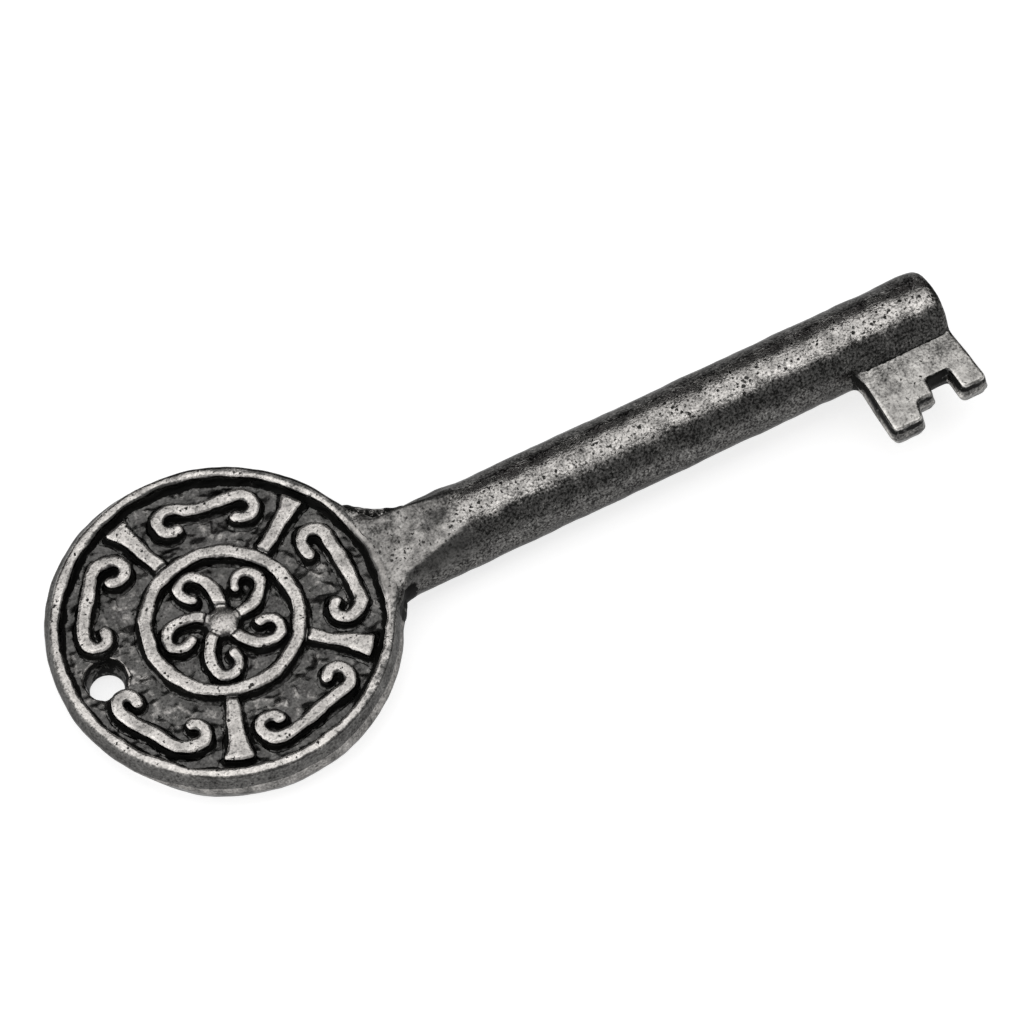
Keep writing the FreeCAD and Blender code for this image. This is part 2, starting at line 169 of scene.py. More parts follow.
def neck_slope(x, y, z, cube):
    """Share of iron in the slope that leads from the rim's top up to the flat of the neck."""
    radius = np.hypot(x - BOW_CENTRE[0], y - BOW_CENTRE[1])
    width = fall(np.abs(y), NECK_CORNER_Y - SLOPE_SIDE, NECK_CORNER_Y)
    height = NECK_RISE * width * rise(radius, SLOPE_START, BOW_RADIUS)
    above = (height > 0) & (z > TOP_LEVEL - SLOPE_DEPTH)
    there = above & (x > BOW_CENTRE[0]) & (radius < BOW_RADIUS + cube)
    return np.where(there, np.clip(0.5 - (z - TOP_LEVEL - height) / cube, 0, 1), 0)


print(f"the slope climbs {NECK_RISE} mm over {BOW_RADIUS - SLOPE_START:.1f} mm")

# %% [markdown]
# The casting itself, in four blocks. The relief on the bow needs small cubes and the smooth stem
# makes do with larger ones, so the key is cast in four overlapping blocks. Every block holds the
# neighbours of its pieces too, because a corner only fills with iron where both sides of it are
# there. Two wider blurs are kept beside the skin. They say later how hollow a place is, which is
# where black grime and painted shade go, and how closed in it is, where fingers don't reach and painted
# shade goes.

# %% Cast the key in four blocks of cubes
EDGE_ROOM = 1.2
NECK_ROOM = 1.0
HOLLOW_SPREAD = 0.34
CLOSED_SPREAD = 0.7


def cast_block(names, low, high, cube, rounding):
    """Fuse the named solids in a box of cubes and let the sand round them."""
    first = np.floor((np.array(low) - EDGE_ROOM) / cube).astype(int)
    last = np.ceil((np.array(high) + EDGE_ROOM) / cube).astype(int)
    shape = tuple(last - first + 1)
    share = np.zeros(shape, np.float32)
    grids = {}
    for name in names:
        grids[name] = distance_field(name, cube)
        share += np.clip(0.5 - read_block(grids[name], first, shape) / cube, 0, 1)
    x, y, z = [cube * (first[axis] + np.arange(shape[axis])) for axis in range(3)]
    slope = neck_slope(x[:, None, None], y[None, :, None], z[None, None, :], cube)
    share = np.minimum(np.maximum(share, slope), 1).astype(np.float32)
    skin = (0.5 - blurred(share, rounding / cube)) * math.sqrt(2 * math.pi) * rounding
    return {"first": first, "cube": cube, "grids": grids, "skin": skin,
            "hollow": blurred(share, HOLLOW_SPREAD / cube) - 0.5,
            "closed": blurred(share, CLOSED_SPREAD / cube) - 0.5}


NAMES = sorted(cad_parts)
bow_high = np.array([plate_high[0] + NECK_ROOM, plate_high[1], TOP_LEVEL])
relief_low = np.array([plate_low[0], plate_low[1], 0])
blocks = {
    "relief": cast_block(NAMES, relief_low, bow_high, cube=0.095, rounding=0.14),
    "bow_plate": cast_block(NAMES, plate_low, bow_high, cube=0.125, rounding=0.16),
    "stem": cast_block(["stem", "bit", "bow_plate", "bow_rim"], np.minimum(stem_low, bit_low), stem_high,
                       cube=0.15, rounding=0.22),
    "bit": cast_block(["stem", "bit"], bit_low, bit_high, cube=0.1, rounding=0.13),
}
for name, block in blocks.items():
    print(f"{name:10} {block['skin'].size:9} cubes of {block['cube']} mm")

# %% [markdown]
# One closed mesh for each solid. The grid now holds the fused casting, and each named piece is the
# part of it near that piece's own solid, with a thin skirt that runs on under its neighbours. A skirt
# sinks a few hundredths of a millimetre as it goes, so two pieces never share one surface, and the eye
# sees a single casting with no seams. The ribbons of the relief come out of the sand a little fatter
# than they were drawn, so their fields are lowered by a hair, which moves the skin outwards.

# %% Cut the pieces out of the casting
SKIRT = 0.28
SKIRT_SINK = 0.04
RIBBON_SWELL = 0.075
RIBBON_SWELL_STOPS = (11.8, 12.8)
BIT_SWELL = 0.06
BIT_SWELL_RUN = 1.2


def swell(name, x, y):
    """How much a piece outgrows its solid: not where it meets the stem."""
    if name == "bit":
        return BIT_SWELL * rise(-y, STEM_RADIUS, STEM_RADIUS + BIT_SWELL_RUN)
    if name in blocks:
        return 0
    return RIBBON_SWELL * fall(x - BOW_CENTRE[0], *RIBBON_SWELL_STOPS)


def piece_field(block, name):
    """Field of one piece: the rounded casting, no further than a skirt from the piece's solid."""
    grid, cube, whole = block["grids"][name], block["cube"], block["skin"]
    margin = math.ceil(SKIRT / cube) + 2
    low, high = box_mm(name)
    start = np.maximum(np.floor(low / cube).astype(int) - margin - block["first"], 0)
    stop = np.minimum(np.ceil(high / cube).astype(int) + margin - block["first"], whole.shape)
    first = block["first"] + start
    distance = read_block(grid, first, tuple(stop - start))
    part = whole[start[0]:stop[0], start[1]:stop[1], start[2]:stop[2]]
    sunk = part + SKIRT_SINK * np.clip(distance / SKIRT, 0, 1)
    x, y = [cube * (first[axis] + np.arange(part.shape[axis])) for axis in (0, 1)]
    sunk -= swell(name, x[:, None, None], y[None, :, None])
    return first, np.maximum(sunk, distance - SKIRT)


def quads_from_field(field, first, cube):
    """Points and quads of the surface where a field is zero."""
    grid = openvdb.FloatGrid(float(field.max()))
    grid.transform = openvdb.createLinearTransform(cube)
    grid.copyFromArray(np.ascontiguousarray(field, np.float32), ijk=tuple(int(n) for n in first))
    return grid.convertToQuads(0.0)


def new_mesh(name, points, quads):
    """Smooth-shaded Blender mesh from arrays of points and quads."""
    mesh = bpy.data.meshes.new(name)
    mesh.vertices.add(len(points))
    mesh.vertices.foreach_set("co", np.asarray(points, np.float32).ravel())
    mesh.loops.add(quads.size)
    mesh.loops.foreach_set("vertex_index", quads.astype(np.int32).ravel())
    mesh.polygons.add(len(quads))
    mesh.polygons.foreach_set("loop_start", np.arange(0, quads.size, 4, dtype=np.int32))
    mesh.update(calc_edges=True)
    mesh.shade_smooth()
    return mesh


def new_object(name, data):
    """Object that holds a mesh, a lamp or a camera, put into the scene."""
    made = bpy.data.objects.new(name, data)
    bpy.context.scene.collection.objects.link(made)
    return made


pieces = {}
for name in NAMES:
    block = blocks.get(name, blocks["relief"])
    first, field = piece_field(block, name)
    points, quads = quads_from_field(field, first, block["cube"])
    piece = new_object(name + "_cast", new_mesh(name + "_cast", points * MM, quads))
    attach(piece, "root")
    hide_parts(name)
    pieces[name] = piece
    print(f"{name:20} {len(points):7} points")

# %% [markdown]
# A trace of the mould. The two halves of a sand mould never close perfectly, and a little iron creeps
# between them. Here it left a ragged black lump in the far corner between the bow and the neck. It is
# a string of round blobs along the corner, melted together by taking the nearest one everywhere. Each
# blob is given by its place and its radius.

# %% Flash in the far corner
FLASH_BLOBS = [
    (-49.9, 6.0, -0.4, 0.6), (-49.3, 5.25, -0.3, 0.8), (-48.7, 4.6, -0.2, 0.85), (-48.1, 4.2, -0.2, 0.8),
    (-47.4, 3.85, -0.1, 0.7), (-46.7, 3.55, 0.0, 0.68), (-46.1, 3.4, 0.0, 0.55), (-45.5, 3.25, 0.0, 0.62),
    (-44.9, 3.1, 0.0, 0.45), (-44.3, 2.9, 0.0, 0.4),
]
FLASH_CUBE = 0.09
FLASH_ROOM = 1.0
FLASH_MELT = 2.0
FLASH_BAND = 0.3
FAR_AWAY = 9.0

places = np.array(FLASH_BLOBS)[:, :3]
flash_first = np.floor((places.min(axis=0) - FLASH_ROOM) / FLASH_CUBE).astype(int)
flash_last = np.ceil((places.max(axis=0) + FLASH_ROOM) / FLASH_CUBE).astype(int)
steps = [np.arange(first, last) for first, last in zip(flash_first, flash_last)]
cubes = np.stack(np.meshgrid(*steps, indexing="ij"), axis=-1) * FLASH_CUBE
flash_field = np.full(cubes.shape[:3], FAR_AWAY, np.float32)
for x, y, z, size in FLASH_BLOBS:
    flash_field = np.minimum(flash_field, np.linalg.norm(cubes - [x, y, z], axis=-1) - size)
flash_field = blurred(np.clip(flash_field, -FLASH_BAND, FLASH_BAND), FLASH_MELT)
points, quads = quads_from_field(flash_field, flash_first, FLASH_CUBE)
flash = new_object("corner_flash", new_mesh("corner_flash", points * MM, quads))
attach(flash, "root")
print("flash points:", len(points))

# %% [markdown]
# What each point knows. The founder's flaws and the finish depend on where on the key a point lies,
# so every point first works that out: how far it is from the bow's centre, from its edge and from the
# hanging hole, how deep it lies below the tops, how steep its skin is, whether it faces the viewer and
# whether it sits in a hollow. Arrays do this for all the points of a piece at once.

# %% What each point knows
AWAY_FROM_VIEWER = np.array([0.5, 0.87])
RIM_MARGIN = (0.6, 0.9)
RELIEF_FOOT = (0.5, 0.9)
SUNK_DEPTH = (0.3, 0.75)
NECK_SIDE = 1.2
BRIDGE_START = (0.9, 1.3)
BRIDGE_TOP = (0.1, 0.4)
LAST_CUBE = 1.001


def point_array(mesh, item="co"):
    """Places or normals of a mesh's points, one row for each."""
    values = np.empty(len(mesh.vertices) * 3, np.float32)
    mesh.vertices.foreach_get(item, values)
    return values.reshape(-1, 3)


def sampled(block, values, points):
    """Read a block's values at points, blended between the nearest cubes."""
    place = points / block["cube"] - block["first"]
    place = np.clip(place, 0, np.array(values.shape) - LAST_CUBE)
    low = place.astype(int)
    part = place - low
    total = np.zeros(len(points), np.float32)
    for corner in np.ndindex(2, 2, 2):
        weight = np.prod(np.where(corner, part, 1 - part), axis=1)
        cell = low + corner
        total += weight * values[cell[:, 0], cell[:, 1], cell[:, 2]]
    return total


def read_skin(mesh, block):
    """What the points of a piece know about their places on the key."""
    points = point_array(mesh) / MM
    normals = point_array(mesh, "normal")
    x, y, z = points.T
    ahead, across = x - BOW_CENTRE[0], y - BOW_CENTRE[1]
    radius = np.hypot(ahead, across)
    flat = np.abs(normals[:, 2])
    skin = SimpleNamespace(mesh=mesh, block=block, points=points, normals=normals, x=x, y=y, z=z)
    skin.ahead, skin.across, skin.radius, skin.flat = ahead, across, radius, flat
    skin.angle = np.arctan2(across, ahead)
    skin.from_edge = BOW_RADIUS - radius
    skin.from_hole = np.hypot(x - HOLE_PLACE[0], y - HOLE_PLACE[1])
    skin.below_top = TOP_LEVEL - z
    skin.depth = np.clip(skin.below_top / (TOP_LEVEL - FIELD_LEVEL), 0, 1)
    skin.tilt = np.degrees(np.arccos(np.minimum(flat, 1)))
    skin.facing = -normals[:, :2] @ AWAY_FROM_VIEWER
    skin.in_relief = rise(skin.from_edge, *RIM_MARGIN) * fall(FIELD_LEVEL - z, *RELIEF_FOOT)
    skin.sunk = skin.in_relief * rise(skin.depth, *SUNK_DEPTH)
    skin.by_neck = fall(np.abs(y), NECK_CORNER_Y - NECK_SIDE, NECK_CORNER_Y)
    skin.closed = sampled(block, block["closed"], points)
    bridge = skin.by_neck * rise(ahead - RIM_GROOVE, *BRIDGE_START) * fall(skin.below_top, *BRIDGE_TOP)
    skin.hollow = sampled(block, block["hollow"], points) * (1 - bridge)
    return skin


skins = {name: read_skin(piece.data, blocks.get(name, blocks["relief"])) for name, piece in pieces.items()}
skins["corner_flash"] = read_skin(flash.data, blocks["bow_plate"])
print("points in all:", sum(len(skin.points) for skin in skins.values()))

# %% [markdown]
# The lumps of the sand. Sand leaves iron lumpy: strongly on the sunk field, which nobody ever
# touched, and faintly on the tops that years of fingers have smoothed. Every point moves a little
# along its normal by a smooth noise of its place in space, so neighbouring pieces move together. The
# edges of the relief wander sideways too, because a pattern carved by hand never runs quite true. That
# sideways noise would start from the clock, so it gets a seed, and every run carves the same key.

# %% Lumps and ripples
FIELD_LUMP = 0.2
FIELD_LUMP_SIZE = 1.5
FIELD_RIPPLE = 0.06
FIELD_RIPPLE_SIZE = 0.5
SKIN_LUMP = 0.06
SKIN_LUMP_SIZE = 2.4
GRAIN = 0.016
GRAIN_SIZE = 0.7
SWAY = 0.16
SWAY_SIZE = 1.7
NICK = 0.05
NICK_SIZE = 0.45
CARVING_SEED = 1796020712


def lumps(points, size, octaves=2):
    """Smooth noise between about -1 and 1, with lumps of a given size in millimetres."""
    places = (points / size).tolist()
    return np.array([noise.fractal(place, 1.0, 2.0, octaves) for place in places], np.float32)


def wander(points, size):
    """Smooth sideways noise, for edges that don't run true."""
    return np.array([noise.noise_vector(place)[:2] + (0,) for place in (points / size).tolist()])


def add_lumps(skin):
    """Move the skin by the lumps, ripples and grain of the sand, and let the relief sway."""
    points = skin.points
    skin.ripple = lumps(points, FIELD_RIPPLE_SIZE)
    shift = FIELD_LUMP * skin.sunk * lumps(points, FIELD_LUMP_SIZE)
    shift += FIELD_RIPPLE * skin.sunk * skin.ripple
    shift += SKIN_LUMP * lumps(points, SKIN_LUMP_SIZE) + GRAIN * lumps(points, GRAIN_SIZE, octaves=1)
    sway = skin.in_relief[:, None] * (SWAY * wander(points, SWAY_SIZE) + NICK * wander(points, NICK_SIZE))
    skin.moved = points + skin.normals * shift[:, None] + sway


noise.seed_set(CARVING_SEED)
for skin in skins.values():
    add_lumps(skin)
furthest = max(np.abs(skin.moved - skin.points).max() for skin in skins.values())
print(f"the sand moved no point by more than {furthest:.2f} mm along any axis")

# %% [markdown]
# Rubbing and painted light. The founder blackened the whole key and then wiped it, and pockets have
# rubbed it since, so the dark skin is gone wherever a thumb can reach: on level tops and along sharp
# edges. The same share paints light too: level places and sharp edges are lighter and steep ones
# darker, which is partly wear and partly painted highlight and painted shade, and gives the stem its
# bright band and dark sides. Crests of the field's ripples get painted highlights, and closed-in
# places of the field get painted shade. How level a place is comes from its normal. A low value of
# hollow means an edge that stands out. Each point keeps a share from 0, dark skin, to 1, bare metal.
# The second value, a painted highlight, makes the very edges lighter still.

# %% Rubbing and painted light
# Level places are painted bright and steep ones dark: wear, and also painted highlight and painted shade.
RUBBED_TILT = 12.0
SKIN_TILT = 37.0
FIELD_RUB = 0.2
# Painted highlight on the crests of the field's ripples.
CREST_RUB = 0.3
CREST_HEIGHT = (0.0, 0.5)
RUB_DEPTH = (0.12, 0.35)
# Painted shade in closed-in places of the field.
CLOSED_DULL = 0.45
CLOSED_SHARE = (0.0, 0.14)
# Edges that get a painted highlight.
SHEEN_EDGE = (0.1, 0.3)
RUBBED_EDGE = (0.12, 0.24)
RUBBED_EDGE_TILT = (44.0, 72.0)
EDGE_RUB = 0.9


def rub(skin):
    """Rub the level places and the edges bright, as wear and painted highlight, and leave the field and its
    nooks dark, with painted shade where they are closed in.
    """
    # Level places bright and steep ones dark: wear together with painted highlight and painted shade.
    rubbed = fall(skin.tilt, RUBBED_TILT, SKIN_TILT)
    # Crests of the ripples get a painted highlight.
    crest = FIELD_RUB + CREST_RUB * rise(skin.ripple, *CREST_HEIGHT)
    rubbed *= 1 - (1 - crest) * skin.in_relief * rise(skin.depth, *RUB_DEPTH)
    # Closed-in places of the field get painted shade.
    rubbed *= 1 - CLOSED_DULL * skin.sunk * rise(skin.closed, *CLOSED_SHARE)
    # Sharp edges of the upper side are bright: wear and painted highlight.
    edge = rise(-skin.hollow, *RUBBED_EDGE) * fall(skin.tilt, *RUBBED_EDGE_TILT) * (skin.z > 0)
    skin.rubbed = np.maximum(rubbed, EDGE_RUB * edge)
    # A painted highlight on the very edges, kept as the edge value.
    skin.sheen = rise(-skin.hollow, *SHEEN_EDGE)


for skin in skins.values():
    rub(skin)
print(f"scroll_top is rubbed to {skins['scroll_top'].rubbed.mean():.0%} on average")

# %% [markdown]
# Grime and painted shade. Black is painted at the foot of every ribbon, in the groove inside the rim,
# on steep walls and in the hanging hole. At the foot of the ribbons and on their walls it is grime that
# the wiping cloth never reached and painted shade; in the rim's groove and in the hanging hole it is
# painted shade. Walls and corners that face the viewer get the most painted shade, those that turn
# away get less, and the small floors in the eyes of the scrolls are grey instead of black. Which way a
# corner turns shows in how closed in the places a step before and a step behind it are, as the viewer
# sees them.

# %% Grime and painted shade
WALL_STEEPNESS = (0.3, 0.7)
WALL_DEPTH = (0.2, 0.45)
# Walls that turn away get less black, and walls that face the viewer more: painted shade.
WALL_AWAY = 0.45
WALL_FACING = (-0.5, 0.3)
LEAN_STEP = 0.25
LEAN_RANGE = (-0.02, 0.06)
# Corners behind a ribbon, as the viewer sees them, get less painted shade.
LEAN_CLEAN = 0.55
CORNER_HOLLOW = (0.07, 0.16)
EYE_FLOOR = 0.6
EYE_CLOSED = (0.16, 0.28)
EYE_LEVEL = (0.85, 0.97)
# Black in the hanging hole is painted shade.
HOLE_GRIME = 0.6
HOLE_GRIME_REACH = (1.6, 2.1)
GROOVE_WIDTH = 0.25


def blacken(skin):
    """Paint black, as grime and painted shade, on steep walls, in corners, in the rim's groove and in the
    hanging hole.
    """
    # Black on walls and in corners is grime and painted shade; walls that face the viewer get the most.
    wall = skin.in_relief * rise(1 - skin.flat, *WALL_STEEPNESS) * rise(skin.depth, *WALL_DEPTH)
    wall *= WALL_AWAY + (1 - WALL_AWAY) * rise(skin.facing, *WALL_FACING)
    aside = np.append(LEAN_STEP * AWAY_FROM_VIEWER, 0)
    behind, before = [sampled(skin.block, skin.block["closed"], skin.points + way * aside)
                      for way in (1, -1)]
    corner = rise(skin.hollow, *CORNER_HOLLOW)
    corner *= 1 - LEAN_CLEAN * skin.sunk * rise(before - behind, *LEAN_RANGE)
    corner *= 1 - EYE_FLOOR * skin.sunk * rise(skin.closed, *EYE_CLOSED) * rise(skin.flat, *EYE_LEVEL)
    # The hanging hole and the rim's groove are painted black as shade.
    in_hole = HOLE_GRIME * fall(skin.from_hole, *HOLE_GRIME_REACH)
    groove = skin.sunk * rise(skin.radius, RIM_GROOVE, RIM_GROOVE + GROOVE_WIDTH)
    skin.grime = np.maximum(np.maximum(wall, in_hole), np.maximum(groove, corner))


for skin in skins.values():
    blacken(skin)
print(f"bow_plate holds black on {(skins['bow_plate'].grime > 0.5).mean():.0%} of its points")

# %% [markdown]
# The bow comes out crooked. The two halves of the mould slipped against each other before the iron
# went in, so the lower half of the bow lies a third of a millimetre off the upper one. The bow isn't
# quite round either: it is worn flat on its left and full towards its upper left. A side is given by
# its direction in degrees, by how far round it reaches and by how much it stands out.

# %% Mould slip of the bow
BOW_SLIP = (0.22, -0.27)
PARTING = (-0.6, 0.3)
SLIP_FREE_OF_HOLE = (2.0, 2.8)
WORN_SIDE = (193.0, 45.0, -0.35)
FULL_SIDE = (128.0, 40.0, 0.24)
FULL_BELOW = (0.8, 1.4)
OUTER_EDGE = (0.2, 0.8)


def one_side(angle, centre, reach, height):
    """A height round one direction, that fades to nothing at its reach in degrees."""
    return height * rise(np.cos(angle - math.radians(centre)), math.cos(math.radians(reach)), 1)


def slip_bow(skin):
    """Shift the lower half of the bow, and push its edge in and out of the round."""
    lower = fall(skin.z, *PARTING) * rise(skin.from_hole, *SLIP_FREE_OF_HOLE)
    skin.moved[:, :2] += lower[:, None] * BOW_SLIP
    outwards = np.stack([np.cos(skin.angle), np.sin(skin.angle)], axis=1)
    grow = lower * one_side(skin.angle, *WORN_SIDE)
    grow += fall(skin.z, *FULL_BELOW) * one_side(skin.angle, *FULL_SIDE)
    skin.moved[:, :2] += (grow * fall(skin.from_edge, *OUTER_EDGE))[:, None] * outwards


for name in ("bow_plate", "bow_rim"):
    slip_bow(skins[name])
print(f"the lower half of the bow slipped by {math.hypot(*BOW_SLIP):.2f} mm")

# %% [markdown]
# The bridge between the bow and the neck. Iron runs on from the rim to the neck there, so the groove's
# edge isn't an edge any more, and thumb and finger rub it less than the tops beside it. The bridge is
# first rubbed as one level place across all three pieces, and then dulled on the bow's side.

# %% Bridge to the neck
BRIDGE_RUB = 0.9
BRIDGE_INNER = (0.5, 1.0)
BRIDGE_OUTER = (0.5, 1.0)
BRIDGE_LEVEL = (0.05, 0.2)
NECK_DULL = 0.42
NECK_DULL_START = (-0.5, 0.6)


def rub_bridge(skin):
    """Rub the way from the rim to the neck as one level place."""
    bridge = skin.by_neck * (skin.ahead > SLOPE_START) * rise(skin.radius - RIM_GROOVE, *BRIDGE_INNER)
    bridge *= fall(skin.radius - BOW_RADIUS, *BRIDGE_OUTER)
    skin.rubbed = np.maximum(skin.rubbed, BRIDGE_RUB * bridge * fall(skin.below_top, *BRIDGE_LEVEL))


for name in ("bow_plate", "bow_rim", "stem"):
    rub_bridge(skins[name])
for name in ("bow_plate", "bow_rim"):
    skin = skins[name]
    skin.rubbed *= 1 - NECK_DULL * skin.by_neck * rise(skin.ahead - RIM_GROOVE, *NECK_DULL_START)
print(f"the bridge keeps {1 - NECK_DULL:.0%} of its rub")

# %% [markdown]
# The rim. A rim isn't rubbed alike all round: fingers pass over some stretches and miss others, and
# its outer slope is always darker than its top, with painted shade added on the near side. Its inner
# top gets painted shade on the far side and a painted highlight on the near side. Dull stretches are
# given by their direction, by how far round they reach and by their strength, and those on the outer
# side also by how far in from the edge they go. The far edge, which turns away from the viewer, ends in
# a thin black line of painted shade.

# %% Rim
DULL_SIDES = [(35.0, 70.0, 0.8, 1.05), (318.0, 30.0, 0.55, 1.05), (185.0, 50.0, 0.6, 0.6)]
DULL_SIDE_BORDER = 0.25
# Painted shade on the rim's inner top, on the far side.
DULL_INSIDES = [(100.0, 30.0, 0.9), (160.0, 28.0, 0.8)]
DULL_INSIDE_FROM_EDGE = (0.9, 1.15)
# Painted highlight on the rim's inner top, on the near side.
BRIGHT_INSIDE = (250.0, 75.0, 0.6)
BRIGHT_INSIDE_FROM_EDGE = (0.5, 0.8)
LEVEL_ENOUGH = 0.8
FAR_LINE_WIDTH = (0.06, 0.2)
FAR_LINE_FACING = (-0.3, 0.1)
# The far edge's black line is painted shade.
FAR_LINE_BLACK = 0.9
SLOPE_WIDTH = (0.3, 0.8)
SLOPE_DULL = 0.5
# The near side's outer slope gets extra painted shade.
NEAR_SLOPE_DULL = 0.35
NEAR_DIRECTION = 235.0
NEAR_SHARE = (-0.2, 0.5)
SLOPE_FREE_OF_NECK = (11.0, 12.0)


def finish_rim(skin):
    """Dull the stretches of the rim that hands miss, paint shade and a highlight on its inner top and shade
    on its near outer slope, and draw the black line of painted shade on its far edge.
    """
    off_neck = 1 - skin.by_neck
    for centre, reach, strength, width in DULL_SIDES:
        outer = fall(skin.from_edge, width - DULL_SIDE_BORDER, width)
        skin.rubbed *= 1 - one_side(skin.angle, centre, reach, strength) * outer * off_neck
    # Painted shade on the inner top of the far side.
    for side in DULL_INSIDES:
        skin.rubbed *= 1 - one_side(skin.angle, *side) * rise(skin.from_edge, *DULL_INSIDE_FROM_EDGE)
    # The black line of the far edge is painted shade.
    far_line = fall(skin.from_edge, *FAR_LINE_WIDTH) * fall(skin.facing, *FAR_LINE_FACING)
    black = FAR_LINE_BLACK * far_line * (1 - skin.by_neck * (skin.ahead > 0))
    skin.grime = np.maximum(skin.grime, black)
    skin.rubbed *= 1 - far_line * off_neck
    # A painted highlight on the inner top of the near side.
    inner = rise(skin.from_edge, *BRIGHT_INSIDE_FROM_EDGE) * (skin.flat > LEVEL_ENOUGH)
    skin.sheen += one_side(skin.angle, *BRIGHT_INSIDE) * inner
    # The outer slope is darker, with painted shade added on the near side.
    near = rise(np.cos(skin.angle - math.radians(NEAR_DIRECTION)), *NEAR_SHARE)
    slope = fall(skin.ahead, *SLOPE_FREE_OF_NECK) * fall(skin.from_edge, *SLOPE_WIDTH)
    skin.rubbed *= 1 - (SLOPE_DULL + NEAR_SLOPE_DULL * near) * slope


finish_rim(skins["bow_rim"])
print(f"the rim is rubbed to {skins['bow_rim'].rubbed.mean():.0%} on average")

# %% [markdown]
# The hanging hole. It was cast, not drilled: the core that kept it open was a loose tapered pin. So
# the hole narrows towards the back, it sits a little off its place, and its far edge opens out where
# the pin was pulled. Its upper lip gets a painted highlight and no black. Each point near the hole
# moves along the line from the hole's middle.

# %% Hanging hole and edge of the plate
HOLE_SHIFT = 0.2
HOLE_SHIFT_REACH = (2.0, 3.0)
HOLE_TAPER = 0.2
TAPER_REACH = (1.7, 2.2)
TAPER_FROM_BACK = 0.4
TAPER_BELOW_FIELD = 0.3
HOLE_FLARE = 0.2
FLARE_REACH = (1.9, 2.8)
FLARE_DEPTH = (0.1, 1.2)
FLARE_SIDE = (0.2, 1.0)
LIP_REACH = (1.68, 1.8)
LIP_DEPTH = (0.08, 0.22)
# Painted highlight on the hole's upper lip.
LIP_RUB = 0.9
LIP_CLEAN = 0.95
WALL_RUB = 0.4
EDGE_WALL = (0.2, 0.5)
EDGE_STEEP = (0.3, 0.7)
NEARLY_ZERO = 1e-6


def finish_plate(skin):
    """Shape the hanging hole, paint a highlight on its lip, and rub the outer wall of the plate."""
    reach, below_field = skin.from_hole, FIELD_LEVEL - skin.z
    outwards = (skin.points[:, :2] - HOLE_PLACE[:2]) / np.maximum(reach, NEARLY_ZERO)[:, None]
    low = fall(skin.z, BACK_LEVEL + TAPER_FROM_BACK, FIELD_LEVEL - TAPER_BELOW_FIELD)
    low *= fall(reach, *TAPER_REACH)
    skin.moved[:, :2] -= HOLE_TAPER * low[:, None] * outwards
    skin.moved[:, 0] -= HOLE_SHIFT * fall(reach, *HOLE_SHIFT_REACH)
    flare = fall(below_field, *FLARE_DEPTH) * fall(reach, *FLARE_REACH)
    flare *= rise(outwards @ AWAY_FROM_VIEWER, *FLARE_SIDE)
    skin.moved[:, :2] += HOLE_FLARE * flare[:, None] * AWAY_FROM_VIEWER
    # The upper lip gets a painted highlight and loses its black.
    lip = fall(reach, *LIP_REACH) * fall(below_field, *LIP_DEPTH)
    skin.grime *= 1 - LIP_CLEAN * lip
    outer_wall = fall(skin.from_edge, *EDGE_WALL) * fall(skin.flat, *EDGE_STEEP)
    bright = np.maximum(LIP_RUB * lip, WALL_RUB * outer_wall)
    skin.rubbed = np.maximum(skin.rubbed, bright)


finish_plate(skins["bow_plate"])
print(f"the hole sits {HOLE_SHIFT} mm off its drawn place")

# %% [markdown]
# The stem. A wedge neck widens towards the round bar, and the pattern maker left it fuller than the
# drawing: its far shoulder stands up, and its side swells. At the other end the tip is a soft knob and
# not a plain rounded edge. A circle in the tip's profile is turned into a squarer curve, of the fourth
# power, by stretching every point near the tip away from where the round begins. The neck is duller
# than the bar, with one rough patch that the cloth skipped.

# %% Neck and tip of the stem
NECK_END = BOW_CENTRE[0] + 20.7
NECK_FADE = (-1.5, 0.5)
STEM_CORNER_HOLLOW = (0.02, 0.09)
TIP_ROUND = 0.75
TIP_FULL = 0.8
NECK_SHOULDER = 0.28
SHOULDER_PUSH = (0, 0.9, 0.45)
SHOULDER_SIDE = (0.9, 1.7)
SHOULDER_FACING = (0.05, 0.25)
SHOULDER_TILT = (30, 50)
NECK_SWELL = 0.13
SWELL_SIDE = (1.0, 2.5)
SWELL_HEIGHT = (-2, -1)
ROUGH_PLACE = BOW_CENTRE[:2] + (17.6, -0.36)
ROUGH_REACHES = (1.7, 0.9)
ROUGH_BORDER = (0.4, 1.2)
ROUGH_DULL = 0.3
FAR_HALF = (0.2, 1.6)
# Painted shade on the far half of the neck.
FAR_DULL = 0.08


def fill_tip(skin):
    """Make the round of the tip fuller."""
    from_axis = np.hypot(skin.y, skin.z)
    forward = np.maximum(skin.x + TIP_ROUND, 0)
    outward = np.maximum(from_axis - STEM_RADIUS + TIP_ROUND, 0)
    squarer = np.maximum((forward ** 4 + outward ** 4) ** 0.25, NEARLY_ZERO)
    fuller = TIP_FULL * np.maximum(np.hypot(forward, outward) / squarer - 1, 0)
    skin.moved[:, 0] += fuller * forward
    outward /= np.maximum(from_axis, NEARLY_ZERO)
    skin.moved[:, 1:] += (fuller * outward)[:, None] * skin.points[:, 1:]


